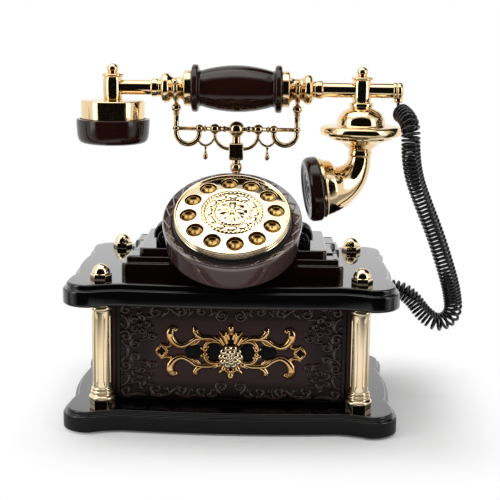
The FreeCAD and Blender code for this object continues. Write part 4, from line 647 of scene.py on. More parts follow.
column = {
    "foot": [
        (2.8, 0), (9.9, 0), (9.9, 4.2), (10.4, 4.7), (10.4, 6.3), (9.3, 7.5), (8.3, 8.1), (8.3, 8.7),
        (9.0, 9.2), (9.0, 10.5), (8.1, 11.1), (8.1, 11.7), (8.5, 12.1), (8.5, 13.0), (7.4, 13.7),
    ],
    "capital": [
        (7.4, 75.2), (8.5, 76.0), (8.5, 78.0), (7.8, 78.6), (7.8, 79.4), (8.5, 80.0), (8.5, 82.3),
        (2.8, 82.3),
    ],
    "footRound": 0.45,
    "capitalRound": 0.5,
    "shaft": 7.4,  # radius
    "shaftFrom": 14,
    "shaftTo": 74.8,
    "shaftRows": 48,
    "around": 240,
    "hexTop": 4.3,  # the foot is six-sided up to here
    "hexFrom": 9,  # and outside this radius
    "flutes": 8,
    "depth": 0.7,
    "wide": 0.6,
    "from": 17.0,
    "to": 72.0,
    "runOut": 1.2,
    "stand": 17.3,
    "nodes": ["front_left_column", "front_right_column", "back_left_column", "back_right_column"],
}


# a turned profile with a six-sided foot, and narrow bell-curve grooves that fade out at both ends of the
# shaft
def columnShape(c):
    shaft = np.linspace((c["shaft"], c["shaftFrom"]), (c["shaft"], c["shaftTo"]), c["shaftRows"])
    line = np.vstack([soften(c["foot"], c["footRound"]), shaft, soften(c["capital"], c["capitalRound"])])
    a = ringAngles(c["around"])[None]
    r, z = line[:, :1], line[:, 1:]
    foot = np.where((z < c["hexTop"]) & (r > c["hexFrom"]), hexagon(a), 1.0)
    off = (a * c["flutes"] / fullTurn) % 1 - 0.5
    groove = np.exp(-(off * fullTurn / c["flutes"] * c["shaft"] / c["wide"]) ** 2)
    window = np.clip((z - c["from"]) / c["runOut"], 0, 1) * np.clip((c["to"] - z) / c["runOut"], 0, 1)
    scale = foot * (1 - c["depth"] / c["shaft"] * groove * window)
    return spin(line, c["around"]) * np.stack([scale, scale, np.ones_like(scale)], -1)


for columnNode, columnPlace in zip(column["nodes"], columnPlaces):
    columnPoints = placed(columnShape(column), None, (*columnPlace, column["stand"]))
    settle(Shell().grid(columnPoints).make("fluted_" + columnNode), "base", "gold", columnNode)

grip = {
    "profile": [
        (6.2, -37), (17.2, -37), (19.35, -36), (19.35, -32), (17.4, -31), (15.2, -30.6), (14.4, -29.4),
        (16.6, -22), (18.6, -10), (19.1, 0), (18.6, 10), (16.6, 22),
        (14.4, 29.4), (15.2, 30.6), (17.4, 31), (19.35, 32), (19.35, 36), (17.2, 37), (6.2, 37),
    ],
    "rounds": [0, 1.6, 1.6, 1.6, 1.2, 0.8, 0.8, 6, 6, 6, 6, 6, 0.8, 0.8, 1.2, 1.6, 1.6, 1.6, 0],
    "around": 128,
    "steps": 7,
}
turnedPiece("turnedGrip", grip, "handset", "brown", "handset_grip", alongX, handsetAt)

collar = {
    "profile": [
        (6.1, 37), (14.75, 37), (14.75, 42.4), (13.2, 43.2), (9.6, 44.6), (8.75, 46.3), (8.75, 52.7),
        (10.2, 54.2), (12.25, 56.2), (12.25, 60.2), (8.4, 62.2), (6.9, 63.4), (6.9, 64.4), (7.5, 65.0),
        (7.5, 69.2), (6.1, 70),
    ],
    "rounds": [0, 0.7, 0.7, 1.2, 1.6, 1.0, 1.0, 1.4, 1.6, 1.8, 1.6, 0.5, 0.4, 0.5, 0.6, 0],
    "around": 96,
}
leftCollar = {**collar, "profile": [(r, -z) for r, z in collar["profile"]]}
turnedPiece("turnedRightCollar", collar, "handset", "warm", "right_collar", alongX, handsetAt)
turnedPiece("turnedLeftCollar", leftCollar, "handset", "warm", "left_collar", alongX, handsetAt)

tube = {"profile": [(4.5, -101.5), (6, -101.5), (6, 127), (4.5, 127)], "rounds": 0.2, "around": 96}
turnedPiece("turnedTube", tube, "handset", "warm", "handset_tube", alongX, handsetAt)

post = {
    "profile": [
        (tiny, -9.8), (7.3, -9.8), (7.9, -6), (8.0, 0), (7.9, 6), (7.2, 8.3), (8.9, 8.9), (9.2, 9.8),
        (8.6, 10.7), (5.4, 11.3), (3.3, 12.0), (4.2, 12.8), (4.9, 14.6), (4.3, 17.0), (2.2, 18.8),
        (tiny, 19.2),
    ],
    "rounds": [0, 0.5, 3, 4, 3, 0.5, 0.5, 0.6, 1.0, 1.0, 0.4, 1.4, 1.6, 1.6, 1.2, 0],
    "around": 72,
}
turnedPiece("turnedEarPost", post, "handset", "warm", "earpiece_post", None, (earX, hookY, handsetZ))
turnedPiece("turnedMouthPost", post, "handset", "warm", "mouth_post", None, (mouthX, hookY, handsetZ))

earCap = {
    "profile": [
        (tiny, 0), (8.4, 0), (9.6, -0.4), (25.2, -0.9), (26.0, -1.5), (26.0, -16), (24, -16), (24, -4.7),
        (tiny, -3.2),
    ],
    "rounds": [0, 0.4, 0.6, 0.3, 0.3, 0.2, 0.2, 0.2, 0],
    "around": 128,
}
turnedPiece("turnedEarCap", earCap, "handset", "warm", "earpiece_cap", None, (earX, hookY, postFoot))

earCup = {
    "profile": [
        (tiny, -34.5), (11, -35.0), (18.5, -36.3), (21.5, -36.5), (27.4, -35.0), (29.3, -30.4), (30.0, -19.0),
        (30.0, -16.5), (29.5, -16), (27, -16), (27, -27.5), (22.5, -31.5), (tiny, -31.5),
    ],
    "rounds": [0, 3, 1.5, 1.5, 2.6, 4, 3, 0.3, 0.3, 0.3, 1, 1, 0],
    "around": 128,
    "steps": 7,
}
turnedPiece("turnedEarpiece", earCup, "handset", "brown", "earpiece", None, (earX, hookY, postFoot))

bell = {
    "profile": [
        (tiny, 0), (9.3, 0), (9.8, -0.8), (9.8, -3.2), (8.9, -4.0), (10.4, -4.6), (15.8, -7.4),
        (19.0, -12.0), (20.0, -17.6), (20.6, -18.3), (28.6, -18.4), (32.4, -19.4), (33.5, -22.0),
        (33.5, -24.2), (32.2, -26.4), (29.0, -27.3), (26.2, -27.5), (25.5, -29.3), (16.0, -32.6),
        (11.2, -36.6), (9.0, -38.3), (9.0, -39.4), (9.6, -40.0), (9.6, -42.8), (9.0, -43.7),
        (tiny, -43.7),
    ],
    "rounds": [
        0, 0.4, 0.5, 0.5, 0.3, 0.5, 2.2, 2.2, 0.5, 0.4, 1.6, 1.5, 1.3, 1.3, 1.3, 0.8, 0.5, 0.8, 3, 2,
        0.5, 0.3, 0.4, 0.4, 0.3, 0,
    ],
    "around": 128,
    "steps": 6,
}
turnedPiece("turnedBell", bell, "handset", "warm", "mouth_bell", None, (mouthX, hookY, postFoot))

elbow = {
    "top": 205.0,
    "bendRadius": 25.5,
    "radii": [  # share of the turn, radius
        (0, 8.8), (0.12, 9.1), (0.28, 10.4), (0.55, 13.6), (0.8, 17.6), (1.0, 21.6),
    ],
    "mouth": [  # run on, radius
        (1.2, 22.0), (5.0, 22.9), (7.4, 23.4), (7.8, 24.4), (8.8, 24.7), (9.3, 24.1), (11.0, 24.5),
    ],
    "mouthRound": 0.35,
    "mouthSteps": 4,
    "wall": 1.8,
    "rows": 48,
    "evenOut": 9,  # rows over which the radius is evened out
    "around": 96,
}


def elbowCentre(e, turn, onward):  # down a bend from the top, then straight on; x and z of the middle
    x = e["bendRadius"] * (np.cos(turn) - 1) - onward * np.sin(turn)
    z = e["top"] - e["bendRadius"] * np.sin(turn) - onward * np.cos(turn)
    return x, z


def makeElbow(e):  # round sections carried down the bend and out to the flared mouth, then back inside
    shares, radii = np.array(e["radii"]).T
    t, span = np.linspace(0, 1, e["rows"]), e["evenOut"]
    bendRadii = np.pad(np.interp(t, shares, radii), span // 2, "reflect", reflect_type="odd")
    bendRadii = np.convolve(bendRadii, np.ones(span) / span, "valid")
    runs, mouthRadii = soften(e["mouth"], e["mouthRound"], e["mouthSteps"]).T
    turn = np.r_[t * elbowTurn, np.full(len(runs), elbowTurn)]
    onward = np.r_[np.zeros(len(t)), runs]
    r = np.r_[bendRadii, mouthRadii]
    turn, onward = np.r_[turn, turn[::-1]][:, None], np.r_[onward, onward[::-1]][:, None]
    r = np.r_[r, r[::-1] - e["wall"]][:, None]
    x, z = elbowCentre(e, turn, onward)
    a = ringAngles(e["around"])[None]
    across = r * np.cos(a)
    points = np.stack([x + across * np.cos(turn), r * np.sin(a), z - across * np.sin(turn)], -1)
    points = placed(points, elbowSwing, (mouthX, hookY, 0))
    settle(Shell().grid(points, closeRows=True).make("flaredElbow"), "handset", "warm", "mouth_elbow")


makeElbow(elbow)

mouthRing = {
    "profile": [
        (tiny, 2.8), (3.0, 2.8), (3.5, 2.2), (5.6, 2.2), (6.1, 2.8), (8.4, 2.6), (8.9, 2.0), (11.2, 1.9),
        (11.7, 2.5), (14.2, 2.2), (14.7, 1.6), (17.0, 1.4), (17.6, 1.9), (20.2, 1.2), (22.0, 0.0),
        (24.2, 0.2), (26.3, 2.6), (26.6, 5.0), (26.6, 9.6), (25.6, 11.0), (14, 11.0), (14, 6), (tiny, 6),
    ],
    "rounds": [0] + [0.3] * 13 + [0.9, 1.2, 1.4, 1.6, 0.8, 0.7, 0.3, 0.3, 0],
    "around": 128,
    "steps": 6,
    "face": 22.0,  # from the end of the bend
}
mouthX0, mouthZ0 = elbowCentre(elbow, elbowTurn, mouthRing["face"])
mouthAt = elbowSwing @ Vector((mouthX0, 0, mouthZ0)) + Vector((mouthX, hookY, 0))
turnedPiece("turnedMouthpiece", mouthRing, "handset", "brown", "mouthpiece", mouthTurn, mouthAt)

endCap = {
    "profile": [
        (tiny, 127), (6.4, 127), (7.0, 127.6), (7.0, 129.2), (6.4, 129.8), (6.4, 130.4), (7.0, 131.0),
        (7.0, 133.2), (5.4, 135.0), (2.5, 135.5), (tiny, 135.5),
    ],
    "rounds": [0, 0.3, 0.4, 0.4, 0.3, 0.3, 0.5, 1.0, 1.2, 0.8, 0],
    "around": 64,
    "boss": [(tiny, 249.0), (2.9, 249.0), (3.6, 249.8), (3.6, 252), (3.3, 258)],
    "bossX": 131.5,
    "bossRound": 0.5,
    "bossAround": 40,
}


# a cap turned about the tube, and under it the small turned boss that the cord comes out of
def makeEndCap(c):
    cap = spin(soften(c["profile"], c["rounds"]), c["around"])
    boss = spin(soften(c["boss"], c["bossRound"]), c["bossAround"])
    shell = Shell().grid(placed(cap, alongX, handsetAt)).grid(placed(boss, None, (c["bossX"], hookY, 0)))
    settle(shell.make("tubeEndCap"), "handset", "warm", "tube_end_cap")


makeEndCap(endCap)

bush = {
    "profile": [
        (5.05, 4), (5.05, 5), (7.6, 5), (8.5, 4.0), (8.5, 2.6), (7.6, 2.2), (7.6, 1.8), (8.5, 1.4),
        (8.5, 0), (7, 0), (7, -22), (3.05, -22), (3.05, -18), (5.05, -18), (5.05, 4),
    ],
    "rounds": [0, 0.2, 0.7, 0.6, 0.4, 0.3, 0.3, 0.4, 0.3, 0.1, 0.1, 0.1, 0.1, 0.1, 0],
    "around": 72,
    "top": 182,  # of the pedestal
}
turnedPiece("turnedHookBush", bush, "base", "gold", "hook_bush", None, (0, hookY, bush["top"]))
print("turned pieces made")

# cradle


# (radius, height) of a ball between two angles from its equator
def ballLine(centre, radius, start, end, count=13):
    a = np.radians(np.linspace(start, end, count))
    return list(zip(np.maximum(radius * np.cos(a), tiny), centre + radius * np.sin(a)))


stem = {
    "profile": [
        (tiny, 94.1), (3, 94.1), (3, 176), (5, 176), (5, 187), (4.2, 188), (3.4, 188.4), (3.4, 189.8),
        *ballLine(193.9, 5.1, -48, 48),
        (3.4, 198.2), (3.4, 219.4),
        *ballLine(225.5, 6.8, -59, 90, 17),
    ],
    "round": 0.3,
    "steps": 3,
    "around": 64,
    "block": [  # half width, height
        (tiny, 200.2), (4.8, 200.2), (6.0, 201.4), (6.0, 213.3), (4.8, 214.5), (tiny, 214.5),
    ],
    "blockRound": 0.9,
    "squareness": 0.16,  # nought is a sharp square and one a circle
    "blockAround": 48,
}


def makeStem(p):  # a turned stem, and a block of rounded square sections drawn in at both ends
    line = soften(p["profile"], p["round"], p["steps"])
    shell = Shell().grid(placed(spin(line, p["around"]), None, (0, hookY, 0)))
    a = ringAngles(p["blockAround"]) + math.pi / 4
    circle = np.stack([np.cos(a), np.sin(a)], -1)
    square = np.sign(circle) * np.abs(circle) ** p["squareness"]
    rows = soften(p["block"], p["blockRound"])
    shell.grid(placed(raised(rows[:, :1, None] * square[None], rows[:, 1]), None, (0, hookY, 0)))
    settle(shell.make("hookStem"), "cradle", "wire", "cradle_stem")


makeStem(stem)


# a bar's profile: a half circle at each bead, the bar's own radius between
def beadLine(beads, start, end, wire, count=11):
    rows = [(tiny, start), (wire, start)]
    t = np.linspace(-1, 1, count)
    for x, r in beads:
        half = math.sqrt(r * r - wire * wire)
        lift = np.sqrt(np.maximum(r * r - (t * half) ** 2, wire * wire))
        rows += list(zip(lift, x + t * half))
    return np.array(rows + [(wire, end), (tiny, end)])


# part of a circle in the XZ plane, degrees from +X towards +Z
def arcPath(cx, cz, radius, start, end, count=28):
    a = np.radians(np.linspace(start, end, count))
    return np.stack([cx + radius * np.cos(a), np.full(count, hookY), cz + radius * np.sin(a)], -1)


crossbar = {
    "beads": [(-17.8, 4.4), (-13.6, 2.4), (-10.0, 2.6), (10.0, 2.6), (13.6, 2.4), (17.8, 4.4)],  # x, radius
    "wire": 1.75,
    "half": 49.5,
    "around": 40,
    "brace": 1.5,
    "braceRing": 11.8,
    "braceX": 6.0,
    "braceDrop": 4.4,
    "braceTop": 17.8,
}


# a beaded bar turned about X, and under each half a brace: a quarter circle in to the stem
def makeCrossbar(c):
    bar = spin(beadLine(c["beads"], -c["half"], c["half"], c["wire"]), c["around"])
    shell = Shell().grid(placed(bar, alongX, (0, hookY, crossbarZ)))
    for side, start, end in ((-1, 180, 270), (1, 0, -90)):
        arc = arcPath(side * c["braceX"], crossbarZ - c["braceDrop"], c["braceRing"], start, end)
        path = np.vstack([[(side * c["braceTop"], hookY, crossbarZ)], arc])
        shell.grid(sweep(path, c["brace"], (0, 1, 0)), caps=True)
    settle(shell.make("beadedCrossbar"), "cradle", "wire", "cradle_crossbar")


makeCrossbar(crossbar)

fork = {
    "wire": 2.1,
    "sides": 16,
    "rows": 40,
    "outer": 49.5,
    "inner": 30.5,
    "dip": 222.2,
    "prongTop": 242.25,
    "saddle": 11.15,
    "saddleRise": 5.2,
    "saddleEnd": 0.5,
    "tips": [(0.7, 0, 2.5), (0.9, 2.4, 1.1)],  # out from the saddle, up, radius
    "balls": [  # x, z, half sizes, rows and columns
        (49.5, 242.25, (4, 4, 3.9), (16, 28)),
        (49.5, 237.65, (2.9, 2.9, 1.2), (12, 20)),
        (49.5, crossbarZ, (3.0, 3.0, 3.0), (12, 20)),
        (30.5, crossbarZ, (3.6, 3.6, 3.6), (16, 28)),
        (25.9, crossbarZ, (1.3, 2.7, 2.7), (12, 20)),
    ],
    "swag": [(31.6, 217.6), (29.6, 213.6), (25.4, 211.8), (21.0, 213.8), (18.6, 217.4)],  # x, z
    "swagWire": 1.0,
    "swagRows": 36,
    "drop": [
        (tiny, 0), (1.3, -0.2), (1.2, -2.0), (0.8, -2.8), (0.85, -5.0), (1.6, -5.6), (0.9, -6.4), (1.4, -7.0),
        (2.3, -8.6), (2.0, -10.3), (0.9, -11.6), (tiny, -12),
    ],
    "dropRounds": [0, 0.3, 0.4, 0.4, 0.4, 0.5, 0.3, 0.6, 1.0, 0.9, 0.6, 0],
    "dropAround": 28,
    "dropAt": (25.4, 211.8),
}


# a wire down from the bar, round a half circle and up its prong; a half-circle saddle across the prong's top;
# balls at the joins, and a swag of thin wire with a turned drop under it
def makeFork(f, side, name, node):
    shell, x, level = Shell(), side * f["outer"], handsetZ + f["saddleRise"]
    middle, ring = side * (f["outer"] + f["inner"]) / 2, (f["outer"] - f["inner"]) / 2
    start, end = (180, 360) if side > 0 else (0, -180)
    half = arcPath(middle, f["dip"], ring, start, end, f["rows"])
    prong = np.vstack([[side * f["inner"], hookY, crossbarZ], half, [x, hookY, f["prongTop"]]])
    shell.grid(sweep(prong, f["wire"], (0, 1, 0), f["sides"]), caps=True)
    a = np.radians(np.linspace(180, 360, f["rows"]))
    under = (x, hookY, handsetZ) + f["saddle"] * np.stack([0 * a, np.cos(a), np.sin(a)], -1)
    reach = f["saddle"] + f["saddleEnd"]
    saddle = np.vstack([[x, hookY - reach, level], under, [x, hookY + reach, level]])
    shell.grid(sweep(saddle, f["wire"], (1, 0, 0), f["sides"]), caps=True)
    for way in (-1, 1):
        for out, up, radius in f["tips"]:
            shell.grid(blob((x, hookY + way * (f["saddle"] + out), level + up), radius))
    for ballX, z, size, fineness in f["balls"]:
        shell.grid(blob((side * ballX, hookY, z), size, *fineness))
    swag = throughPoints([(side * swagX, hookY, z) for swagX, z in f["swag"]], f["swagRows"])
    shell.grid(sweep(swag, f["swagWire"], (0, 1, 0)), caps=True)
    dropX, dropZ = f["dropAt"]
    drop = spin(soften(f["drop"], f["dropRounds"]), f["dropAround"])
    shell.grid(placed(drop, None, (side * dropX, hookY, dropZ)))
    settle(shell.make(name), "cradle", "wire", node)


makeFork(fork, -1, "hookForkLeft", "left_fork")
makeFork(fork, 1, "hookForkRight", "right_fork")
print("cradle made")

# dial

dialCup = {
    "outside": [(tiny, -24.4), (50.8, -24.4), (52.0, -23.0), (53.5, -3.4), (53.1, -1.0), (52.4, -0.1)],
    "outsideRounds": [0, 1.2, 1.4, 0.8, 0.4, 0.3],
    "lip": [(52.2, -0.2), (46.5, -2.8)],
    "lipRows": 40,
    "inside": [(46.3, -2.9), (45.7, -3.6), (45.7, -20.4), (tiny, -20.4)],
    "insideRound": 0.4,
    "around": 480,
    "waves": 24,
    "waveAt": 49.5,
    "waveSwing": 2.0,
    "waveThin": 0.42,
    "waveTall": 0.45,
}


def makeCup(c):  # a turned bezel; a bell-curve ridge follows a zigzag round its sloping lip
    outside, lip = soften(c["outside"], c["outsideRounds"]), np.linspace(*c["lip"], c["lipRows"])
    line = np.vstack([outside, lip, soften(c["inside"], c["insideRound"])])
    points = spin(line, c["around"])
    zigzag = 2 / np.pi * np.arcsin(np.sin(c["waves"] * ringAngles(c["around"])[None]))
    ridge = np.exp(-((lip[:, :1] - c["waveAt"] - c["waveSwing"] * zigzag) / c["waveThin"]) ** 2)
    points[len(outside):len(outside) + len(lip), :, 2] += c["waveTall"] * ridge
    settle(Shell().grid(placed(points, dialTilt, dialAt)).make("bezelCup"), "base", "bezel", "dial_cup")


makeCup(dialCup)

fingerPlate = {
    "ring": 33.5,
    "hole": 6.5,
    "holes": 12,
    "first": 65.6,  # degrees to the first hole
    "under": 2.9,
    "face": 6.5,
    "inner": 24.2,
    "outer": 42.4,
    "dome": 2.0,
    "domePower": 1.5,
    "sides": 60,
    "lip": [(0.05, -0.35), (0.1, 0.0), (0.9, 0.0)],  # out from the hole, drop
    "lipRound": 0.3,
    "lipSteps": 6,
    "fan": 5,  # rows from the lip to the sector's edge
    "lining": (-0.35, -0.5),  # drops of the wall's two upper rows
    "rim": [
        (42.4, 4.5), (42.7, 5.4), (43.3, 5.8), (44.0, 5.6), (44.4, 5.0), (44.4, 4.3), (43.9, 4.0),
        (43.9, 3.2), (44.4, 2.8), (44.4, 1.6), (43.9, 1.2), (43.9, 0.6), (44.4, 0.2), (44.4, -0.1),
        (42.4, -0.1), (42.4, 2.9),
    ],
    "bore": [(24.2, 2.9), (23.2, 2.9), (23.2, 5.5), (24.2, 5.5), (24.2, 6.5)],
    "rimRound": 0.35,
    "rimAround": 160,
}


def keyAngle(index):  # the holes stand evenly round the ring, counted from the first
    return math.radians(fingerPlate["first"]) + fullTurn * index / fingerPlate["holes"]


# how far each ray from a hole's middle runs to the edge of its sector: the nearest of two straight sides,
# the outer circle and the inner circle
def sectorReach(p, centre, rays):
    far, half, reach = 1e9, math.pi / p["holes"], []
    for sign in (-1, 1):
        across = np.array([-math.sin(half), sign * math.cos(half)])
        slope = rays @ across
        reach.append(np.where(slope > 1 / far, -(centre @ across) / np.where(slope > 1 / far, slope, 1), far))
    along = rays @ centre
    reach.append(-along + np.sqrt(along ** 2 + p["outer"] ** 2 - centre @ centre))
    inside = along ** 2 + p["inner"] ** 2 - centre @ centre
    reach.append(np.where((inside > 0) & (along < 0), -along - np.sqrt(np.maximum(inside, 0)), far))
    return np.min(reach, axis=0)


# height over the plate: it falls towards the rim with a power of the share of the way out
def onPlate(p, flat, drop):
    share = np.clip((np.linalg.norm(flat, axis=1) - p["inner"]) / (p["outer"] - p["inner"]), 0, 1)
    return np.column_stack([flat, p["face"] - p["dome"] * share ** p["domePower"] + drop])


# one hole's share of the plate, worked out for a hole on +X: the top from a rounded lip out to the
# sector's edge, the flat underside, and the hole's wall
def holeGrids(p):
    a = ringAngles(p["sides"])
    rays, centre = np.stack([np.cos(a), np.sin(a)], -1), np.array([p["ring"], 0.0])
    edge, even = sectorReach(p, centre, rays), np.ones(p["sides"])
    lipEnd = p["hole"] + p["lip"][-1][0]
    lip = soften(p["lip"], p["lipRound"], p["lipSteps"])
    rows = [((p["hole"] + out) * even, drop) for out, drop in lip]
    rows += [(lipEnd + (edge - lipEnd) * share, 0.0) for share in np.linspace(1 / p["fan"], 1, p["fan"])]
    top = np.array([onPlate(p, centre + rays * r[:, None], drop) for r, drop in rows])
    hole = centre + rays * p["hole"]
    under = raised(np.stack([hole, centre + rays * edge[:, None]]), np.full(2, p["under"]))
    wall = np.array([onPlate(p, hole, drop) for drop in p["lining"]] + [under[0]])
    return top, under, wall


# the grids of one hole turned to each hole's angle, between a turned rim and a turned bore
def makeFingerPlate(p):
    plate, lining = Shell(), Shell()
    top, under, wall = holeGrids(p)
    for index in range(p["holes"]):
        turn = dialTilt @ Matrix.Rotation(keyAngle(index), 3, "Z")
        plate.grid(placed(top, turn, dialAt)).grid(placed(under, turn, dialAt))
        lining.grid(placed(wall, turn, dialAt))
    for turned in ("rim", "bore"):
        plate.grid(placed(spin(soften(p[turned], p["rimRound"]), p["rimAround"]), dialTilt, dialAt))
    settle(plate.make("fingerPlate"), "base", "gold", "finger_plate")
    settle(lining.make("fingerHoleLinings"), "base", "key")


makeFingerPlate(fingerPlate)

rosette = {
    "flat": 23.7,
    "radius": 24.2,
    "base": 5.5,
    "ground": 6.3,
    "rows": 120,
    "around": 360,
    "ropes": [(22.2, 1.5, 44), (13.8, 1.0, 30)],  # ring, half width, strands
    "ropeTwist": 2.2,
    "ropeTall": 0.75,
    "strandTall": 0.55,
    "petals": 12,
    "petalFrom": 14.9,
    "petalTo": 20.5,
    "petalTall": 0.9,
    "petalBlunt": 0.7,  # power of the cosine round
    "petalWide": 1.5,
    "petalRise": 0.6,  # power of the sine outwards
    "heartPetals": 8,
    "heart": 11.9,
    "heartTall": 1.3,
    "heartBlunt": 0.6,
    "heartWide": 1.6,
    "heartTaper": 1.1,
    "heartReach": 1.02,
    "heartRise": 0.7,
    "pearl": 3.2,
    "pearlTall": 1.5,
}


# heights over a disc: two rope rings with half-circle sections and cosine strands, a ring of petals
# between them, a small flower inside, each petal the power of a cosine round and of a sine outwards, and
# half a ball at the middle
def makeRosette(p):
    r = np.concatenate([np.linspace(tiny, p["flat"], p["rows"]), [p["radius"], p["radius"]]])[:, None]
    a = ringAngles(p["around"])[None]
    z = np.full((len(r), p["around"]), p["ground"])
    for at, wide, count in p["ropes"]:
        u = (r - at) / wide
        strand = 0.5 + 0.5 * np.cos(count * a + u * p["ropeTwist"])
        tall = p["ropeTall"] + p["strandTall"] * strand
        z = z + np.where(np.abs(u) < 1, np.sqrt(np.maximum(1 - u ** 2, 0)) * tall, 0)
    out = np.clip((r - p["petalFrom"]) / (p["petalTo"] - p["petalFrom"]), 0, 1)
    wave = np.abs(np.cos(p["petals"] * a / 2)) ** p["petalBlunt"]
    leaf = np.clip(wave * p["petalWide"] - (2 * out - 1) ** 2, 0, 1)
    z = z + p["petalTall"] * np.sin(np.pi * out) ** p["petalRise"] * leaf
    core = np.clip(r / p["heart"], 0, 1)
    wave = np.abs(np.cos(p["heartPetals"] * a / 2)) ** p["heartBlunt"]
    leaf = np.clip(wave * p["heartWide"] - core ** 2 * p["heartTaper"], 0, 1)
    rise = np.sin(np.pi * np.clip(core * p["heartReach"], 0, 1)) ** p["heartRise"]
    z = z + p["heartTall"] * rise * leaf * (core < 1)
    z = z + p["pearlTall"] * np.sqrt(np.clip(1 - (r / p["pearl"]) ** 2, 0, 1))
    z[-2:] = np.array([[p["ground"]], [p["base"]]])
    face = np.stack([r * np.cos(a), r * np.sin(a), z], -1)
    foot = spin(np.array([[tiny, p["base"]]]), p["around"])
    points = placed(np.concatenate([face, foot]), dialTilt, dialAt)
    settle(Shell().grid(points).make("dialRosette"), "base", "gold", "dial_medallion")


makeRosette(rosette)

key = {
    "profile": [
        (tiny, -14.9), (7.0, -14.9), (7.0, -12.9), (5.9, -12.9), (5.9, 3.4), (5.5, 4.1), (5.0, 3.8),
        (3.6, 2.8), (1.7, 2.2), (tiny, 2.05),
    ],
    "rounds": [0, 0.2, 0.2, 0.1, 0.5, 0.3, 0.7, 1.0, 0.8, 0],
    "around": 48,
    "names": ["1", "2", "3", "4", "5", "6", "7", "8", "9", "star", "0", "hash"],
    "signs": {"star": "*", "hash": "#"},
    "digit": 4.2,
    "digitThick": 0.12,
    "digitFine": 3,
    "digitUp": 0.9,
    "dish": (2.2, 0.07),  # the digit's height at the key's middle, and its rise with the radius squared
}


def makeKey(k, index):  # a turned button with a dished top, and its figure bent to the dish
    name = k["names"][index]
    body, angle, ring = "key_" + name, keyAngle(index), fingerPlate["ring"]
    at = Vector(dialAt) + dialTilt @ Vector((ring * math.cos(angle), ring * math.sin(angle), 0))
    turnedPiece("turned_" + body, k, body, "key", body, dialTilt, at)
    words = bpy.data.curves.new("digit", "FONT")
    words.body = k["signs"].get(name, name)
    words.size, words.extrude, words.resolution_u = k["digit"], k["digitThick"], k["digitFine"]
    words.align_x, words.align_y = "CENTER", "CENTER"
    mesh = meshOf("digit", words)
    points = pointsOf(mesh)
    points[:, 1] += k["digitUp"]
    points[:, 2] += k["dish"][0] + np.sum(points[:, :2] ** 2, axis=1) * k["dish"][1]
    mesh.vertices.foreach_set("co", (placed(points, dialTilt, at) * mm).ravel())
    mesh.update()
    mesh.name = "digit_" + name
    settle(linked(bpy.data.objects.new(mesh.name, mesh)), body, "ink")


for keyIndex in range(fingerPlate["holes"]):
    makeKey(key, keyIndex)
print("dial made")

# slabs of the base: an outline drawn in and out as it rises


# the shorter arc between two points, or a straight line where there is no bend; a positive bend turns left
def arcBetween(start, end, bend, count):
    start, end = np.array(start, float), np.array(end, float)
    chord, share = end - start, np.linspace(0, 1, count, endpoint=False)
    if bend is None:
        return start + chord * share[:, None]
    long = np.linalg.norm(chord)
    left = np.array([-chord[1], chord[0]]) / long
    centre = (start + end) / 2 + left * math.copysign(math.sqrt(max(bend ** 2 - (long / 2) ** 2, 0)), bend)
    first = math.atan2(*(start - centre)[::-1])
    last = math.atan2(*(end - centre)[::-1])
    a = first + ((last - first + math.pi) % fullTurn - math.pi) * share
    return centre + abs(bend) * np.stack([np.cos(a), np.sin(a)], -1)


def closedOutline(corners, perEdge=24):  # corners as (x, y, bend of the edge that ends there)
    ends = corners[1:] + corners[:1]
    return np.vstack([arcBetween(a[:2], b[:2], b[2], perEdge) for a, b in zip(corners, ends)])


lobes = {"dipX": 82, "dip": 7, "cornerX": 22, "cornerY": 16, "notchY": 41, "notch": 3.5}
lobeBends = {"front": 842.5, "toCorner": -60, "corner": 21, "toNotch": 90, "side": 241.9}


# a lobed board: long front and back arcs that dip before the corners, and a long lobe between two notches
# on each side; one half is turned about the middle to give the other
def wavy(hx, hy):
    dipX, notchX, notchY = lobes["dipX"], hx - lobes["notch"], lobes["notchY"]
    dipY, cornerX, cornerY = hy - lobes["dip"], hx - lobes["cornerX"], hy - lobes["cornerY"]
    half = [
        (dipX, -dipY, lobeBends["front"]),
        (cornerX, -hy, lobeBends["toCorner"]),
        (hx, -cornerY, lobeBends["corner"]),
        (notchX, -notchY, lobeBends["toNotch"]),
        (notchX, notchY, lobeBends["side"]),
        (hx, cornerY, lobeBends["toNotch"]),
        (cornerX, hy, lobeBends["corner"]),
        (dipX, dipY, lobeBends["toCorner"]),
    ]
    return half + [(-x, -y, bend) for x, y, bend in half]


# a box with round corners; scoop is a run of (y, depth, bend) corners up its right side, mirrored down
# its left
def roundBox(hx, front, back, r, scoop=()):
    right = [(hx - deep, y, bend) for y, deep, bend in scoop]
    left = [(-x, y, bend) for (x, y, _), (_, _, bend) in zip(right[::-1], right)]
    return [
        (-hx + r, -front, r), (hx - r, -front, None), (hx, -front + r, r), *right, (hx, back - r, None),
        (hx - r, back, r), (-hx + r, back, None), (-hx, back - r, r), *left, (-hx, -front + r, None),
    ]


# each row draws the outline in by its first number, at the height of its second; passes even out the
# directions at the corners
def slab(outline, rows, passes=3):
    ahead = unitLength(np.roll(outline, -1, 0) - np.roll(outline, 1, 0))
    out = np.stack([ahead[:, 1], -ahead[:, 0]], -1)
    for _ in range(passes):
        out = unitLength(out + np.roll(out, 1, 0) + np.roll(out, -1, 0))
    return raised(outline[None] - out[None] * rows[:, :1, None], rows[:, 1])


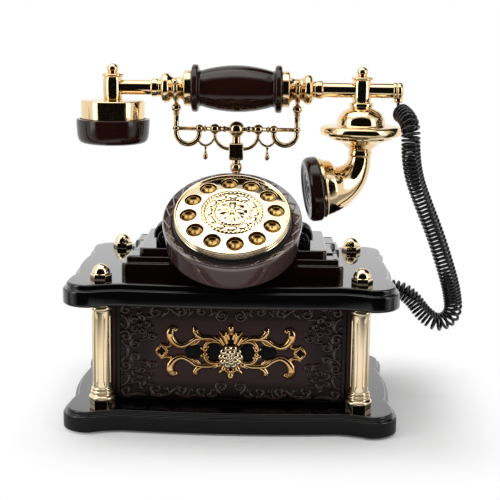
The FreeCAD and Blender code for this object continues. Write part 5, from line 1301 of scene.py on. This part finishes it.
slabs = {
    "plinth": {
        "outline": wavy(129, 89),
        "rows": [
            (4, 1.5), (0.5, 1.5), (0, 2.2), (0, 13.2), (0.5, 13.9), (2.6, 14.0), (2.9, 14.4), (2.9, 16.6),
            (3.5, 17.3), (8, 17.3),
        ],
        "rounds": [0, 0.5, 0.6, 0.8, 0.5, 0.3, 0.3, 0.6, 0.6, 0],
        "finish": "lacquer",
    },
    "top_plate": {
        "outline": wavy(128, 89),
        "rows": [
            (6, 99.6), (1.0, 99.6), (0, 101.0), (0, 111.0), (0.6, 112.0), (2.6, 112.1), (2.9, 112.5),
            (2.9, 115.6), (3.7, 116.6), (9, 116.6),
        ],
        "rounds": [0, 1.0, 1.0, 1.0, 0.6, 0.3, 0.3, 0.8, 0.8, 0],
        "finish": "lacquer",
    },
    "lower_step": {
        "outline": roundBox(87, 47, 60, 5, [(-12, 0, None), (-6, 3.5, -8), (16, 3.5, None), (22, 0, -8)]),
        "rows": [
            (2.5, 116.6), (0, 116.6), (0, 124.8), (0.7, 125.6), (3.6, 125.7), (4.0, 126.1), (4.0, 129.6),
            (4.7, 130.3), (8, 130.3),
        ],
        "rounds": [0, 0.2, 0.7, 0.6, 0.3, 0.3, 0.6, 0.6, 0],
        "finish": "step",
    },
    "upper_step": {
        "outline": roundBox(74, 38, 52, 5),
        "rows": [(2.5, 130.3), (0, 130.3), (0, 135.4), (0.8, 136.3), (4, 136.3)],
        "rounds": [0, 0.2, 0.7, 0.6, 0],
        "finish": "step",
    },
}
slabSteps = 6  # points round each softened edge
for slabNode, s in slabs.items():
    slabPoints = slab(closedOutline(s["outline"]), soften(s["rows"], s["rounds"], slabSteps))
    settle(Shell().grid(slabPoints, caps=True).make("slab_" + slabNode), "base", s["finish"], slabNode)

acorn = {
    "hex": 8.3,
    "nut": [  # share of the width, height
        (0.3, 116.6), (1.0, 116.6), (1.0, 120.7), (0.93, 121.5), (0.86, 121.6), (0.5, 121.6),
    ],
    "nutAround": 144,
    "dome": [(6.9, 121.2), *ballLine(121.6, 6.95, 0, 90)],
    "domeAround": 72,
}


def makeAcorns(p):  # over each column a six-sided nut, its sides drawn in at the top, and a turned dome
    a = ringAngles(p["nutAround"])
    flat = (p["hex"] * hexagon(a))[:, None] * np.stack([np.cos(a), np.sin(a)], -1)
    share, height = np.array(p["nut"]).T
    nut, dome = raised(share[:, None, None] * flat, height), spin(np.array(p["dome"]), p["domeAround"])
    shell = Shell()
    for place in columnPlaces:
        shell.grid(placed(nut, None, (*place, 0)), caps=True)
        shell.grid(placed(dome, None, (*place, 0)))
    settle(shell.make("acornBolts"), "base", "gold", "tie_bolts")


makeAcorns(acorn)
print("base slabs made")

# CAD pieces that are kept, with the width of their softened edges
softEdges = {
    "dial_pedestal": 1.2,
    "case_shell": 0.8,
    "front_panel": 0.6,
    "side_scrolls": 1.2,
    "line_jack": 0.4,
}
softSteps = 3
softAngle = math.radians(40)  # an edge that turns by more than this is softened
for blockNode, wide in softEdges.items():
    weld = nodes[blockNode].modifiers.new("weld", "WELD")
    weld.merge_threshold = mergeWithin
    edge = nodes[blockNode].modifiers.new("softEdge", "BEVEL")
    edge.width, edge.segments, edge.harden_normals = wide * mm, softSteps, True
    edge.limit_method, edge.angle_limit = "ANGLE", softAngle

# front panel: gold ornament and the carved border

panel = {"face": -57.0, "level": 58.45}
fourWays = [(-1, -1), (-1, 1), (1, -1), (1, 1)]


# a tapered ridge along a curve of (x, z) points on the panel; plan gives its y, and flat squeezes its depth
def stroke(shell, points, radii, plan, count, flat, sides):
    line = throughPoints(points, count)
    r = np.interp(np.linspace(0, 1, count), np.linspace(0, 1, len(radii)), radii)
    path = np.stack([line[:, 0], np.full(count, plan), line[:, 1]], -1)
    shell.grid(sweep(path, r, (0, 1, 0), sides, flat), caps=True)


ornament = {
    "strokes": [  # one quarter, as (points, radii)
        ([(9.0, 7.2), (15, 9.8), (22, 10.0), (27.5, 9.2), (32.5, 6.2), (38.2, 4.1), (43, 5.4), (46.6, 9.0),
          (47.4, 13.0), (45.8, 16.0), (43.0, 15.8)],
         [1.6, 2.0, 2.3, 2.2, 2.0, 2.3, 2.9, 3.4, 3.5, 2.8, 1.6]),
        ([(21, 9.8), (25.2, 11.4), (27.8, 14.4), (28.8, 17.6)], [1.9, 2.5, 2.4, 0.8]),
        ([(24, 8.8), (27.6, 6.0), (32.5, 4.6)], [1.2, 1.5, 0.5]),
        ([(8.4, 7.0), (12.6, 7.8), (16.6, 7.2), (19.8, 4.8), (20.6, 2.0)], [1.8, 1.9, 1.7, 1.5, 1.4]),
        ([(49.4, 0), (51.8, 2.4), (54.2, 4.4)], [1.2, 1.4, 1.1]),
        ([(58.4, 0), (56.4, 2.2), (54.2, 4.4)], [0.8, 1.4, 1.1]),
        ([(54.6, 5.4), (51.4, 3.8), (48.4, 3.8), (45.4, 5.8)], [0.8, 1.6, 1.7, 1.3]),
        ([(3.0, 6.0), (5.6, 12.0), (9.0, 14.6)], [1.4, 2.3, 0.7]),
        ([(5.6, 5.0), (9.6, 9.4), (14.0, 11.2)], [1.4, 2.2, 0.7]),
        ([(1.6, 9.0), (2.9, 13.0), (1.2, 16.0)], [1.1, 1.9, 0.9]),
    ],
    "lobes": [  # x, z, radius
        (43.2, 15.6, 2.0), (47.6, 9.4, 2.7), (27.4, 15.0, 2.0), (20.0, 1.6, 2.1), (18.2, 3.6, 1.5),
        (22.4, 2.6, 1.5),
    ],
    "lobeOut": 0.2,
    "lobeDepth": 0.9,  # share of the radius
    "ends": [(16.9, 2.3, 3.2), (13.6, 1.5, 1.6)],  # height, radius across, radius up
    "endDepth": 2.1,
    "endOut": 0.5,
    "endFineness": (16, 24),  # rows and columns
    "ground": [(14.4, 7.2, 7.6), (27.5, 8.6, 5.4), (54.0, 3.8, 3.2)],  # x and half sizes of the black inlay
    "hearts": (10.2, 4.6, 4.4),  # height and half sizes of the inlay over and under the flower
    "groundDepth": 0.35,
    "groundFineness": (12, 32),
    "out": 1.0,  # from the panel's face to the middle of the scrolls
    "flat": 0.9,
    "tall": 1.14,
    "rowsPerPoint": 12,
    "sides": 12,
}
flower = {
    "drop": 3.0,  # under the panel's level
    "petals": [  # count, ring, size, out, phase
        (10, 6.9, 3.0, 2.4, 0.0), (7, 4.3, 2.7, 4.0, 0.35), (4, 1.9, 2.0, 5.4, 0.1),
    ],
    "petalDepth": 0.75,
    "petalFineness": (9, 14),  # rows and columns, also of the bud
    "bud": 1.7,
    "budOut": 6.4,
    "cushion": (8.4, 3.6, 8.4),
    "cushionOut": 1.0,
    "cushionFineness": (12, 28),
}


# one quarter's scrolls and balls mirrored four ways, over a black inlay of flat ellipsoids
def makeOrnament(o):
    shell, ground, y, level = Shell(), Shell(), panel["face"] - o["out"], panel["level"]
    for sx, sz in fourWays:
        for points, radii in o["strokes"]:
            quarter = [(sx * x, level + sz * z * o["tall"]) for x, z in points]
            stroke(shell, quarter, radii, y, o["rowsPerPoint"] * len(points), o["flat"], o["sides"])
        for x, z, r in o["lobes"]:
            centre = (sx * x, y - o["lobeOut"], level + sz * z * o["tall"])
            shell.grid(blob(centre, (r, r * o["lobeDepth"], r)))
    for side in (-1, 1):
        for x, wide, tall in o["ground"]:
            size = (wide, o["groundDepth"], tall)
            ground.grid(blob((side * x, panel["face"], level), size, *o["groundFineness"]))
        for z, wide, tall in o["ends"]:
            centre = (0, y - o["endOut"], level + side * z * o["tall"])
            shell.grid(blob(centre, (wide, o["endDepth"], tall), *o["endFineness"]))
        z, wide, tall = o["hearts"]
        size = (wide, o["groundDepth"], tall)
        ground.grid(blob((0, panel["face"], level + side * z), size, *o["groundFineness"]))
    settle(shell.make("goldOrnament"), "base", "antique", "front_ornament")
    settle(ground.make("ornamentGround"), "base", "inlay")


# rings of ball petals that stand further out towards the middle, over a cushion and round a bud
def makeFlower(p):
    shell, y, level = Shell(), panel["face"] - ornament["out"], panel["level"] - p["drop"]
    for count, ring, size, out, phase in p["petals"]:
        for a in phase + ringAngles(count):
            centre = (ring * math.cos(a), y - out, level + ring * math.sin(a))
            shell.grid(blob(centre, (size, size * p["petalDepth"], size), *p["petalFineness"]))
    shell.grid(blob((0, y - p["budOut"], level), p["bud"], *p["petalFineness"]))
    shell.grid(blob((0, y - p["cushionOut"], level), p["cushion"], *p["cushionFineness"]))
    settle(shell.make("flowerBoss"), "base", "gold")


makeOrnament(ornament)
makeFlower(flower)


# a curl whose radius shrinks evenly by the share of tighten towards its eye
def spiral(cx, cz, start, turns, radius, hand, count=36, tighten=0.86):
    t = np.linspace(0, 1, count)
    a = start + hand * turns * fullTurn * t
    r = radius * (1 - tighten * t)
    return np.stack([cx + r * np.cos(a), cz + r * np.sin(a)], -1)


carving = {
    "flower": (71.0, 21.3),
    "petals": 5,
    "petalPhase": 0.5,
    "petalRing": 5.4,
    "petalSize": 2.9,
    "petalStart": 2.4,
    "petalRadii": [1.1, 1.3, 1.1, 0.9],
    "petalRows": 24,
    "eye": (2.4, 2.2, 2.4),
    "eyeOut": 0.5,
    "leaves": [(0.6, 11.5), (1.5, 10.5), (2.5, 13.5), (3.4, 12.0), (4.3, 12.5), (5.4, 11.5)],  # angle, reach
    "leafFoot": 7.6,
    "leafLean": (-0.25, 0.3),
    "leafRadii": [0.8, 1.7, 0.4],
    "leafRows": 18,
    "curls": [  # x, z, start, turns, radius, hand
        (82.0, 33.0, 2.6, 1.3, 4.4, -1), (82.2, 12.0, 0.4, 1.3, 4.6, 1), (58.4, 31.6, 2.4, 1.4, 5.0, -1),
        (38.6, 31.8, 0.4, 1.3, 4.2, 1), (22.6, 32.6, 2.2, 1.3, 3.8, -1), (7.0, 29.0, 1.4, 1.5, 4.8, -1),
        (74.4, 5.6, 1.2, 1.3, 4.4, -1), (61.6, 12.4, 3.0, 1.2, 3.4, 1),
    ],
    "curlRadii": [1.5, 1.4, 1.1, 1.4],
    "ridges": [
        ([(62.6, 35.6), (55, 36.6), (48, 34.6), (43, 31.0), (40, 27.4)], [1.4, 1.5, 1.4, 1.5, 0.5]),
        ([(49, 34.6), (50.6, 30.4), (54.4, 27.4)], [1.2, 1.7, 0.4]),
        ([(42.6, 35.0), (35, 36.8), (28, 35.6), (23.6, 36.4)], [1.2, 1.5, 1.4, 0.8]),
        ([(33, 36.4), (31.2, 31.6), (33.6, 28.2)], [1.2, 1.7, 0.4]),
        ([(19.0, 34.6), (14.6, 36.4), (9.6, 34.2)], [1.2, 1.5, 0.8]),
        ([(16.4, 36.0), (14.0, 31.6), (16.8, 28.2)], [1.1, 1.6, 0.4]),
        ([(86.0, 29.0), (81.6, 26.4), (79.8, 21.0), (83.0, 16.4)], [1.2, 1.6, 1.4, 0.8]),
        ([(86.2, 22.0), (83.4, 20.0)], [1.4, 0.8]),
        ([(85.6, 9.0), (82.0, 4.6), (77.6, 3.6)], [1.3, 1.6, 1.0]),
        ([(70.6, 8.6), (66.4, 9.8), (64.6, 13.8)], [1.2, 1.7, 0.6]),
        ([(79.0, 8.4), (77.6, 12.6), (73.6, 13.4)], [1.2, 1.6, 0.4]),
        ([(76.6, 36.6), (72.0, 35.4), (66.4, 36.6)], [1.0, 1.7, 0.8]),
        ([(86.0, 36.6), (80.0, 37.4), (75.4, 33.8)], [1.0, 1.5, 0.6]),
    ],
    "bridge": ([(86.0, 8.0), (81.0, 3.0), (81.0, -3.0), (86.0, -8.0)], [0.8, 1.5, 1.5, 0.8]),
    "rows": 36,  # of the curls, the ridges and the bridge
    "swell": 1.2,
    "flat": 0.8,
    "out": 0.1,
    "sides": 12,
}


def quarterRidges(c):  # every ridge of one quarter, as (points, radii, rows)
    fx, fz = c["flower"]
    ridges = []

    def polar(angle, r):  # a point about the flower
        return fx + r * math.cos(angle), fz + r * math.sin(angle)

    for a in c["petalPhase"] + ringAngles(c["petals"]):
        petal = spiral(*polar(a, c["petalRing"]), a + c["petalStart"], 1.0, c["petalSize"], -1)
        ridges.append((petal, c["petalRadii"], c["petalRows"]))
    for a, reach in c["leaves"]:
        foot, (back, on) = c["leafFoot"], c["leafLean"]
        leaf = [polar(a + back, foot), polar(a, (foot + reach) / 2), polar(a + on, reach)]
        ridges.append((leaf, c["leafRadii"], c["leafRows"]))
    ridges += [(spiral(*curl), c["curlRadii"], c["rows"]) for curl in c["curls"]]
    return ridges + [(points, radii, c["rows"]) for points, radii in c["ridges"]]


# one quarter of the border, mirrored four ways: a flower of curled petals, its leaves, curls and scrolls;
# a bridge joins the upper and lower quarters of each side
def makeCarving(c):
    shell, y, level = Shell(), panel["face"] - c["out"], panel["level"]

    def ridge(points, radii, rows, sx, sz):  # a plumper stroke, mirrored by its two signs
        mirrored = [(sx * x, level + sz * z) for x, z in points]
        stroke(shell, mirrored, [r * c["swell"] for r in radii], y, rows, c["flat"], c["sides"])

    for sx, sz in fourWays:
        for points, radii, rows in quarterRidges(c):
            ridge(points, radii, rows, sx, sz)
        fx, fz = c["flower"]
        shell.grid(blob((sx * fx, y - c["eyeOut"], level + sz * fz), c["eye"]))
    for sx in (-1, 1):
        ridge(*c["bridge"], c["rows"], sx, 1)
    settle(shell.make("panelCarving"), "base", "carving")


makeCarving(carving)

fillet = {
    "inner": 89.2,
    "outer": 94.2,
    "front": -57.0,
    "back": -53.0,
    "low": 17.4,
    "high": 99.5,
    "round": 1.6,
    "roundSteps": 6,
    "chamfer": 0.4,
    "chamferRound": 0.3,
    "chamferSteps": 4,
}


# a slim upright moulding at each side of the panel: a rounded oblong drawn up from the foot to the plate,
# a little smaller at both ends
def makeFillets(p):
    shell, cut = Shell(), p["chamfer"]
    x0, x1, y0, y1 = p["inner"], p["outer"], p["front"], p["back"]
    loop = soften([(x0, y0), (x1, y0), (x1, y1), (x0, y1)], p["round"], p["roundSteps"])
    rows = [(cut, p["low"]), (0, p["low"] + cut), (0, p["high"] - cut), (cut, p["high"])]
    rows = soften(rows, p["chamferRound"], p["chamferSteps"])
    middle = np.array([(x0 + x1) / 2, (y0 + y1) / 2])
    points = raised(middle + (loop - middle)[None] * (1 - rows[:, :1, None] / (y1 - y0)), rows[:, 1])
    for side in (-1, 1):
        shell.grid(points * np.array([side, 1, 1]), caps=True)
    settle(shell.make("panelFillets"), "base", "carved")


makeFillets(fillet)

sideLeaf = {
    "plan": -29.9,
    "sides": 10,
    "strokes": [  # points, radii, rows
        (spiral(53.2, 143.4, -1.2, 1.7, 6.0, 1), [1.8, 1.6, 1.2, 1.5], 40),
        (spiral(46.2, 148.4, 2.2, 1.3, 3.9, -1), [1.4, 1.2, 0.9, 1.2], 40),
        ([(43.0, 137.6), (47.0, 139.2), (49.4, 137.8)], [1.0, 1.7, 0.5], 20),
        ([(43.2, 144.6), (45.6, 142.2), (45.4, 139.4)], [1.0, 1.6, 0.6], 20),
    ],
    "ribs": 5,
    "ribFront": -28.6,
    "ribBack": -14.0,
    "ribArc": (-0.25, math.pi / 2 + 0.5),
    "ribRows": 24,
    "ribSway": 1.2,
    "ribRadius": (1.6, 0.2),  # at the ends, and more at the middle
    "shoulder": (53.0, 145.3),
    "round": 8.3,
    "high": 153.7,
}


# over the two blocks beside the pedestal: volutes and leaves on the front, and ribs that follow the
# block's round shoulder, swaying by the sine of twice the angle
def makeSideLeaves(p):
    shell = Shell()
    a = np.linspace(*p["ribArc"], p["ribRows"])
    ends, more = p["ribRadius"]
    radius = ends + more * np.sin(np.linspace(0, math.pi, p["ribRows"]))
    shoulderX, shoulderZ = p["shoulder"]
    x, sway = shoulderX + p["round"] * np.cos(a), p["ribSway"] * np.sin(2 * a)
    z = np.minimum(shoulderZ + p["round"] * np.sin(a), p["high"])
    for side in (-1, 1):
        for points, radii, rows in p["strokes"]:
            stroke(shell, [(side * px, pz) for px, pz in points], radii, p["plan"], rows, 1.0, p["sides"])
        for depth in np.linspace(p["ribFront"], p["ribBack"], p["ribs"]):
            rib = np.stack([side * x, depth + sway, z], -1)
            shell.grid(sweep(rib, radius, (0, 1, 0), p["sides"]), caps=True)
    settle(shell.make("sideLeafCarving"), "base", "lacquer")


makeSideLeaves(sideLeaf)
print("carving made")

# floor, lights and the white room

studio = {  # metres
    "floor": 6.0,
    "floorTone": (0.87, 0.87, 0.87, 1),
    "floorRough": 0.6,
    "floorShine": 0.1,
    "middle": (0.03, -0.01, 0),  # of the pale patch where the shadow falls
    "core": (0.115, 0.08, 1.0),  # its half sizes
    "fade": (0.0, 0.09),  # distances from it over which the floor turns white
    "least": 0.06,  # share of white on it
    "shadowStrip": 0.65,  # how dim reflections find the floor close in front, a painted contact shadow
    "stripFrom": (0.0, 0.02),
    "stripTo": (0.125, 0.17),
    "aside": (0.35, 0.7),  # how squarely in front of the object the far floor turns dark to reflections, painted as the unlit side of the studio
    "away": (0.28, 0.5),  # and how far out
    "unlit": 0.004,
    "roomFront": (-0.62, -0.4),
    "corner": (0.50, 0.42, 0.757),  # towards a dark corner of the room
    "cornerEdge": (0.80, 0.92),
    "cornerDark": 0.01,
    "soft": 0.6,
}
lamps = {  # metres and watts
    "topBox": {"place": (-0.3, -0.05, 1.7), "aim": (-0.3, -0.05, 0), "power": 11.5, "size": (1.9, 1.2)},
    "leftBox": {"place": (-0.85, -0.45, 0.42), "aim": (0, 0, 0.15), "power": 1.7, "size": (0.3, 0.8)},
    "rightBox": {"place": (0.85, -0.45, 0.42), "aim": (0, 0, 0.15), "power": 1.7, "size": (0.3, 0.8)},
}
white = (1, 1, 1, 1)


# pale near the object, where its shadow falls, and plain white further off, by the distance outside an
# oblong; reflections find the floor dim in a strip close in front, a painted contact shadow, and dark far out
# in front, painted as the unlit side of the studio
def makeFloor(c):
    size = c["floor"]
    mesh = bpy.data.meshes.new("paleFloor")
    corners = [(-size, -size, 0), (size, -size, 0), (size, size, 0), (-size, size, 0)]
    mesh.from_pydata(corners, [], [(0, 1, 2, 3)])
    f = Finish("paleFloor")
    f.shade(Base_Color=c["floorTone"], Roughness=c["floorRough"], Specular_IOR_Level=c["floorShine"])
    at = f.where()
    aside = f.vector("ABSOLUTE", f.vector("SUBTRACT", at, c["middle"])[0])[0]
    outside = f.vector("LENGTH", f.vector("MAXIMUM", f.vector("SUBTRACT", aside, c["core"])[0])[0])[1]
    away = f.vector("LENGTH", at)[1]
    front = 0 - f.split(at)[1]
    # painted contact shadow in a strip in front, seen only in reflections
    shadowStrip = c["shadowStrip"] * f.step(front, *c["stripFrom"]) * (1 - f.step(front, *c["stripTo"]))
    # painted dark reflection far out in front, as of an unlit studio, plus the painted contact shadow
    dark = f.step(front / away, *c["aside"]) * f.step(away, *c["away"]) + shadowStrip
    pale = f.mix(f.step(outside, *c["fade"], c["least"]), f.surface, f.add("ShaderNodeEmission")[0])
    unlit = f.add("ShaderNodeEmission", None, {0: (c["unlit"], c["unlit"], c["unlit"], 1)})[0]
    f.feed(f.out, f.mix(dark * f.lightPath()["Is Glossy Ray"], pale, unlit))
    mesh.materials.append(f.material)
    linked(bpy.data.objects.new("paleFloor", mesh))


def makeLamp(name, c):  # an oblong of light at its place, turned to face its aim
    data = bpy.data.lights.new(name, "AREA")
    data.shape, data.energy = "RECTANGLE", c["power"]
    data.size, data.size_y = c["size"]
    lamp = linked(bpy.data.objects.new(name, data))
    lamp.location = c["place"]
    lamp.rotation_euler = (Vector(c["aim"]) - Vector(c["place"])).to_track_quat("-Z", "Y").to_euler()


# plain white to the camera and softer to matt surfaces; reflections find it dark on the camera's side,
# where the studio is unlit, and in one corner
def makeRoom(c):
    world = bpy.data.worlds.new("whiteRoom")
    bpy.context.scene.world = world
    w = ShaderTree(world, "ShaderNodeOutputWorld")
    rays, way = w.lightPath(), w.add("ShaderNodeTexCoord")[0]
    lit = w.step(w.split(way)[1], *c["roomFront"], c["unlit"])
    corner = w.step(w.vector("DOT_PRODUCT", way, c["corner"])[1], *c["cornerEdge"], 1.0, c["cornerDark"])
    shine, soft, plain = [
        w.add("ShaderNodeBackground", None, {"Color": white, "Strength": strength})[0]
        for strength in (lit * corner, c["soft"], 1.0)
    ]
    mirrored = rays["Is Glossy Ray"].larger(rays["Is Transmission Ray"])
    w.feed(w.out, w.mix(rays["Is Camera Ray"], w.mix(mirrored, soft, shine), plain))


makeFloor(studio)
for lampName, lampValues in lamps.items():
    makeLamp(lampName, lampValues)
makeRoom(studio)
bpy.context.scene.view_settings.view_transform = "Standard"

bpy.context.view_layer.update()
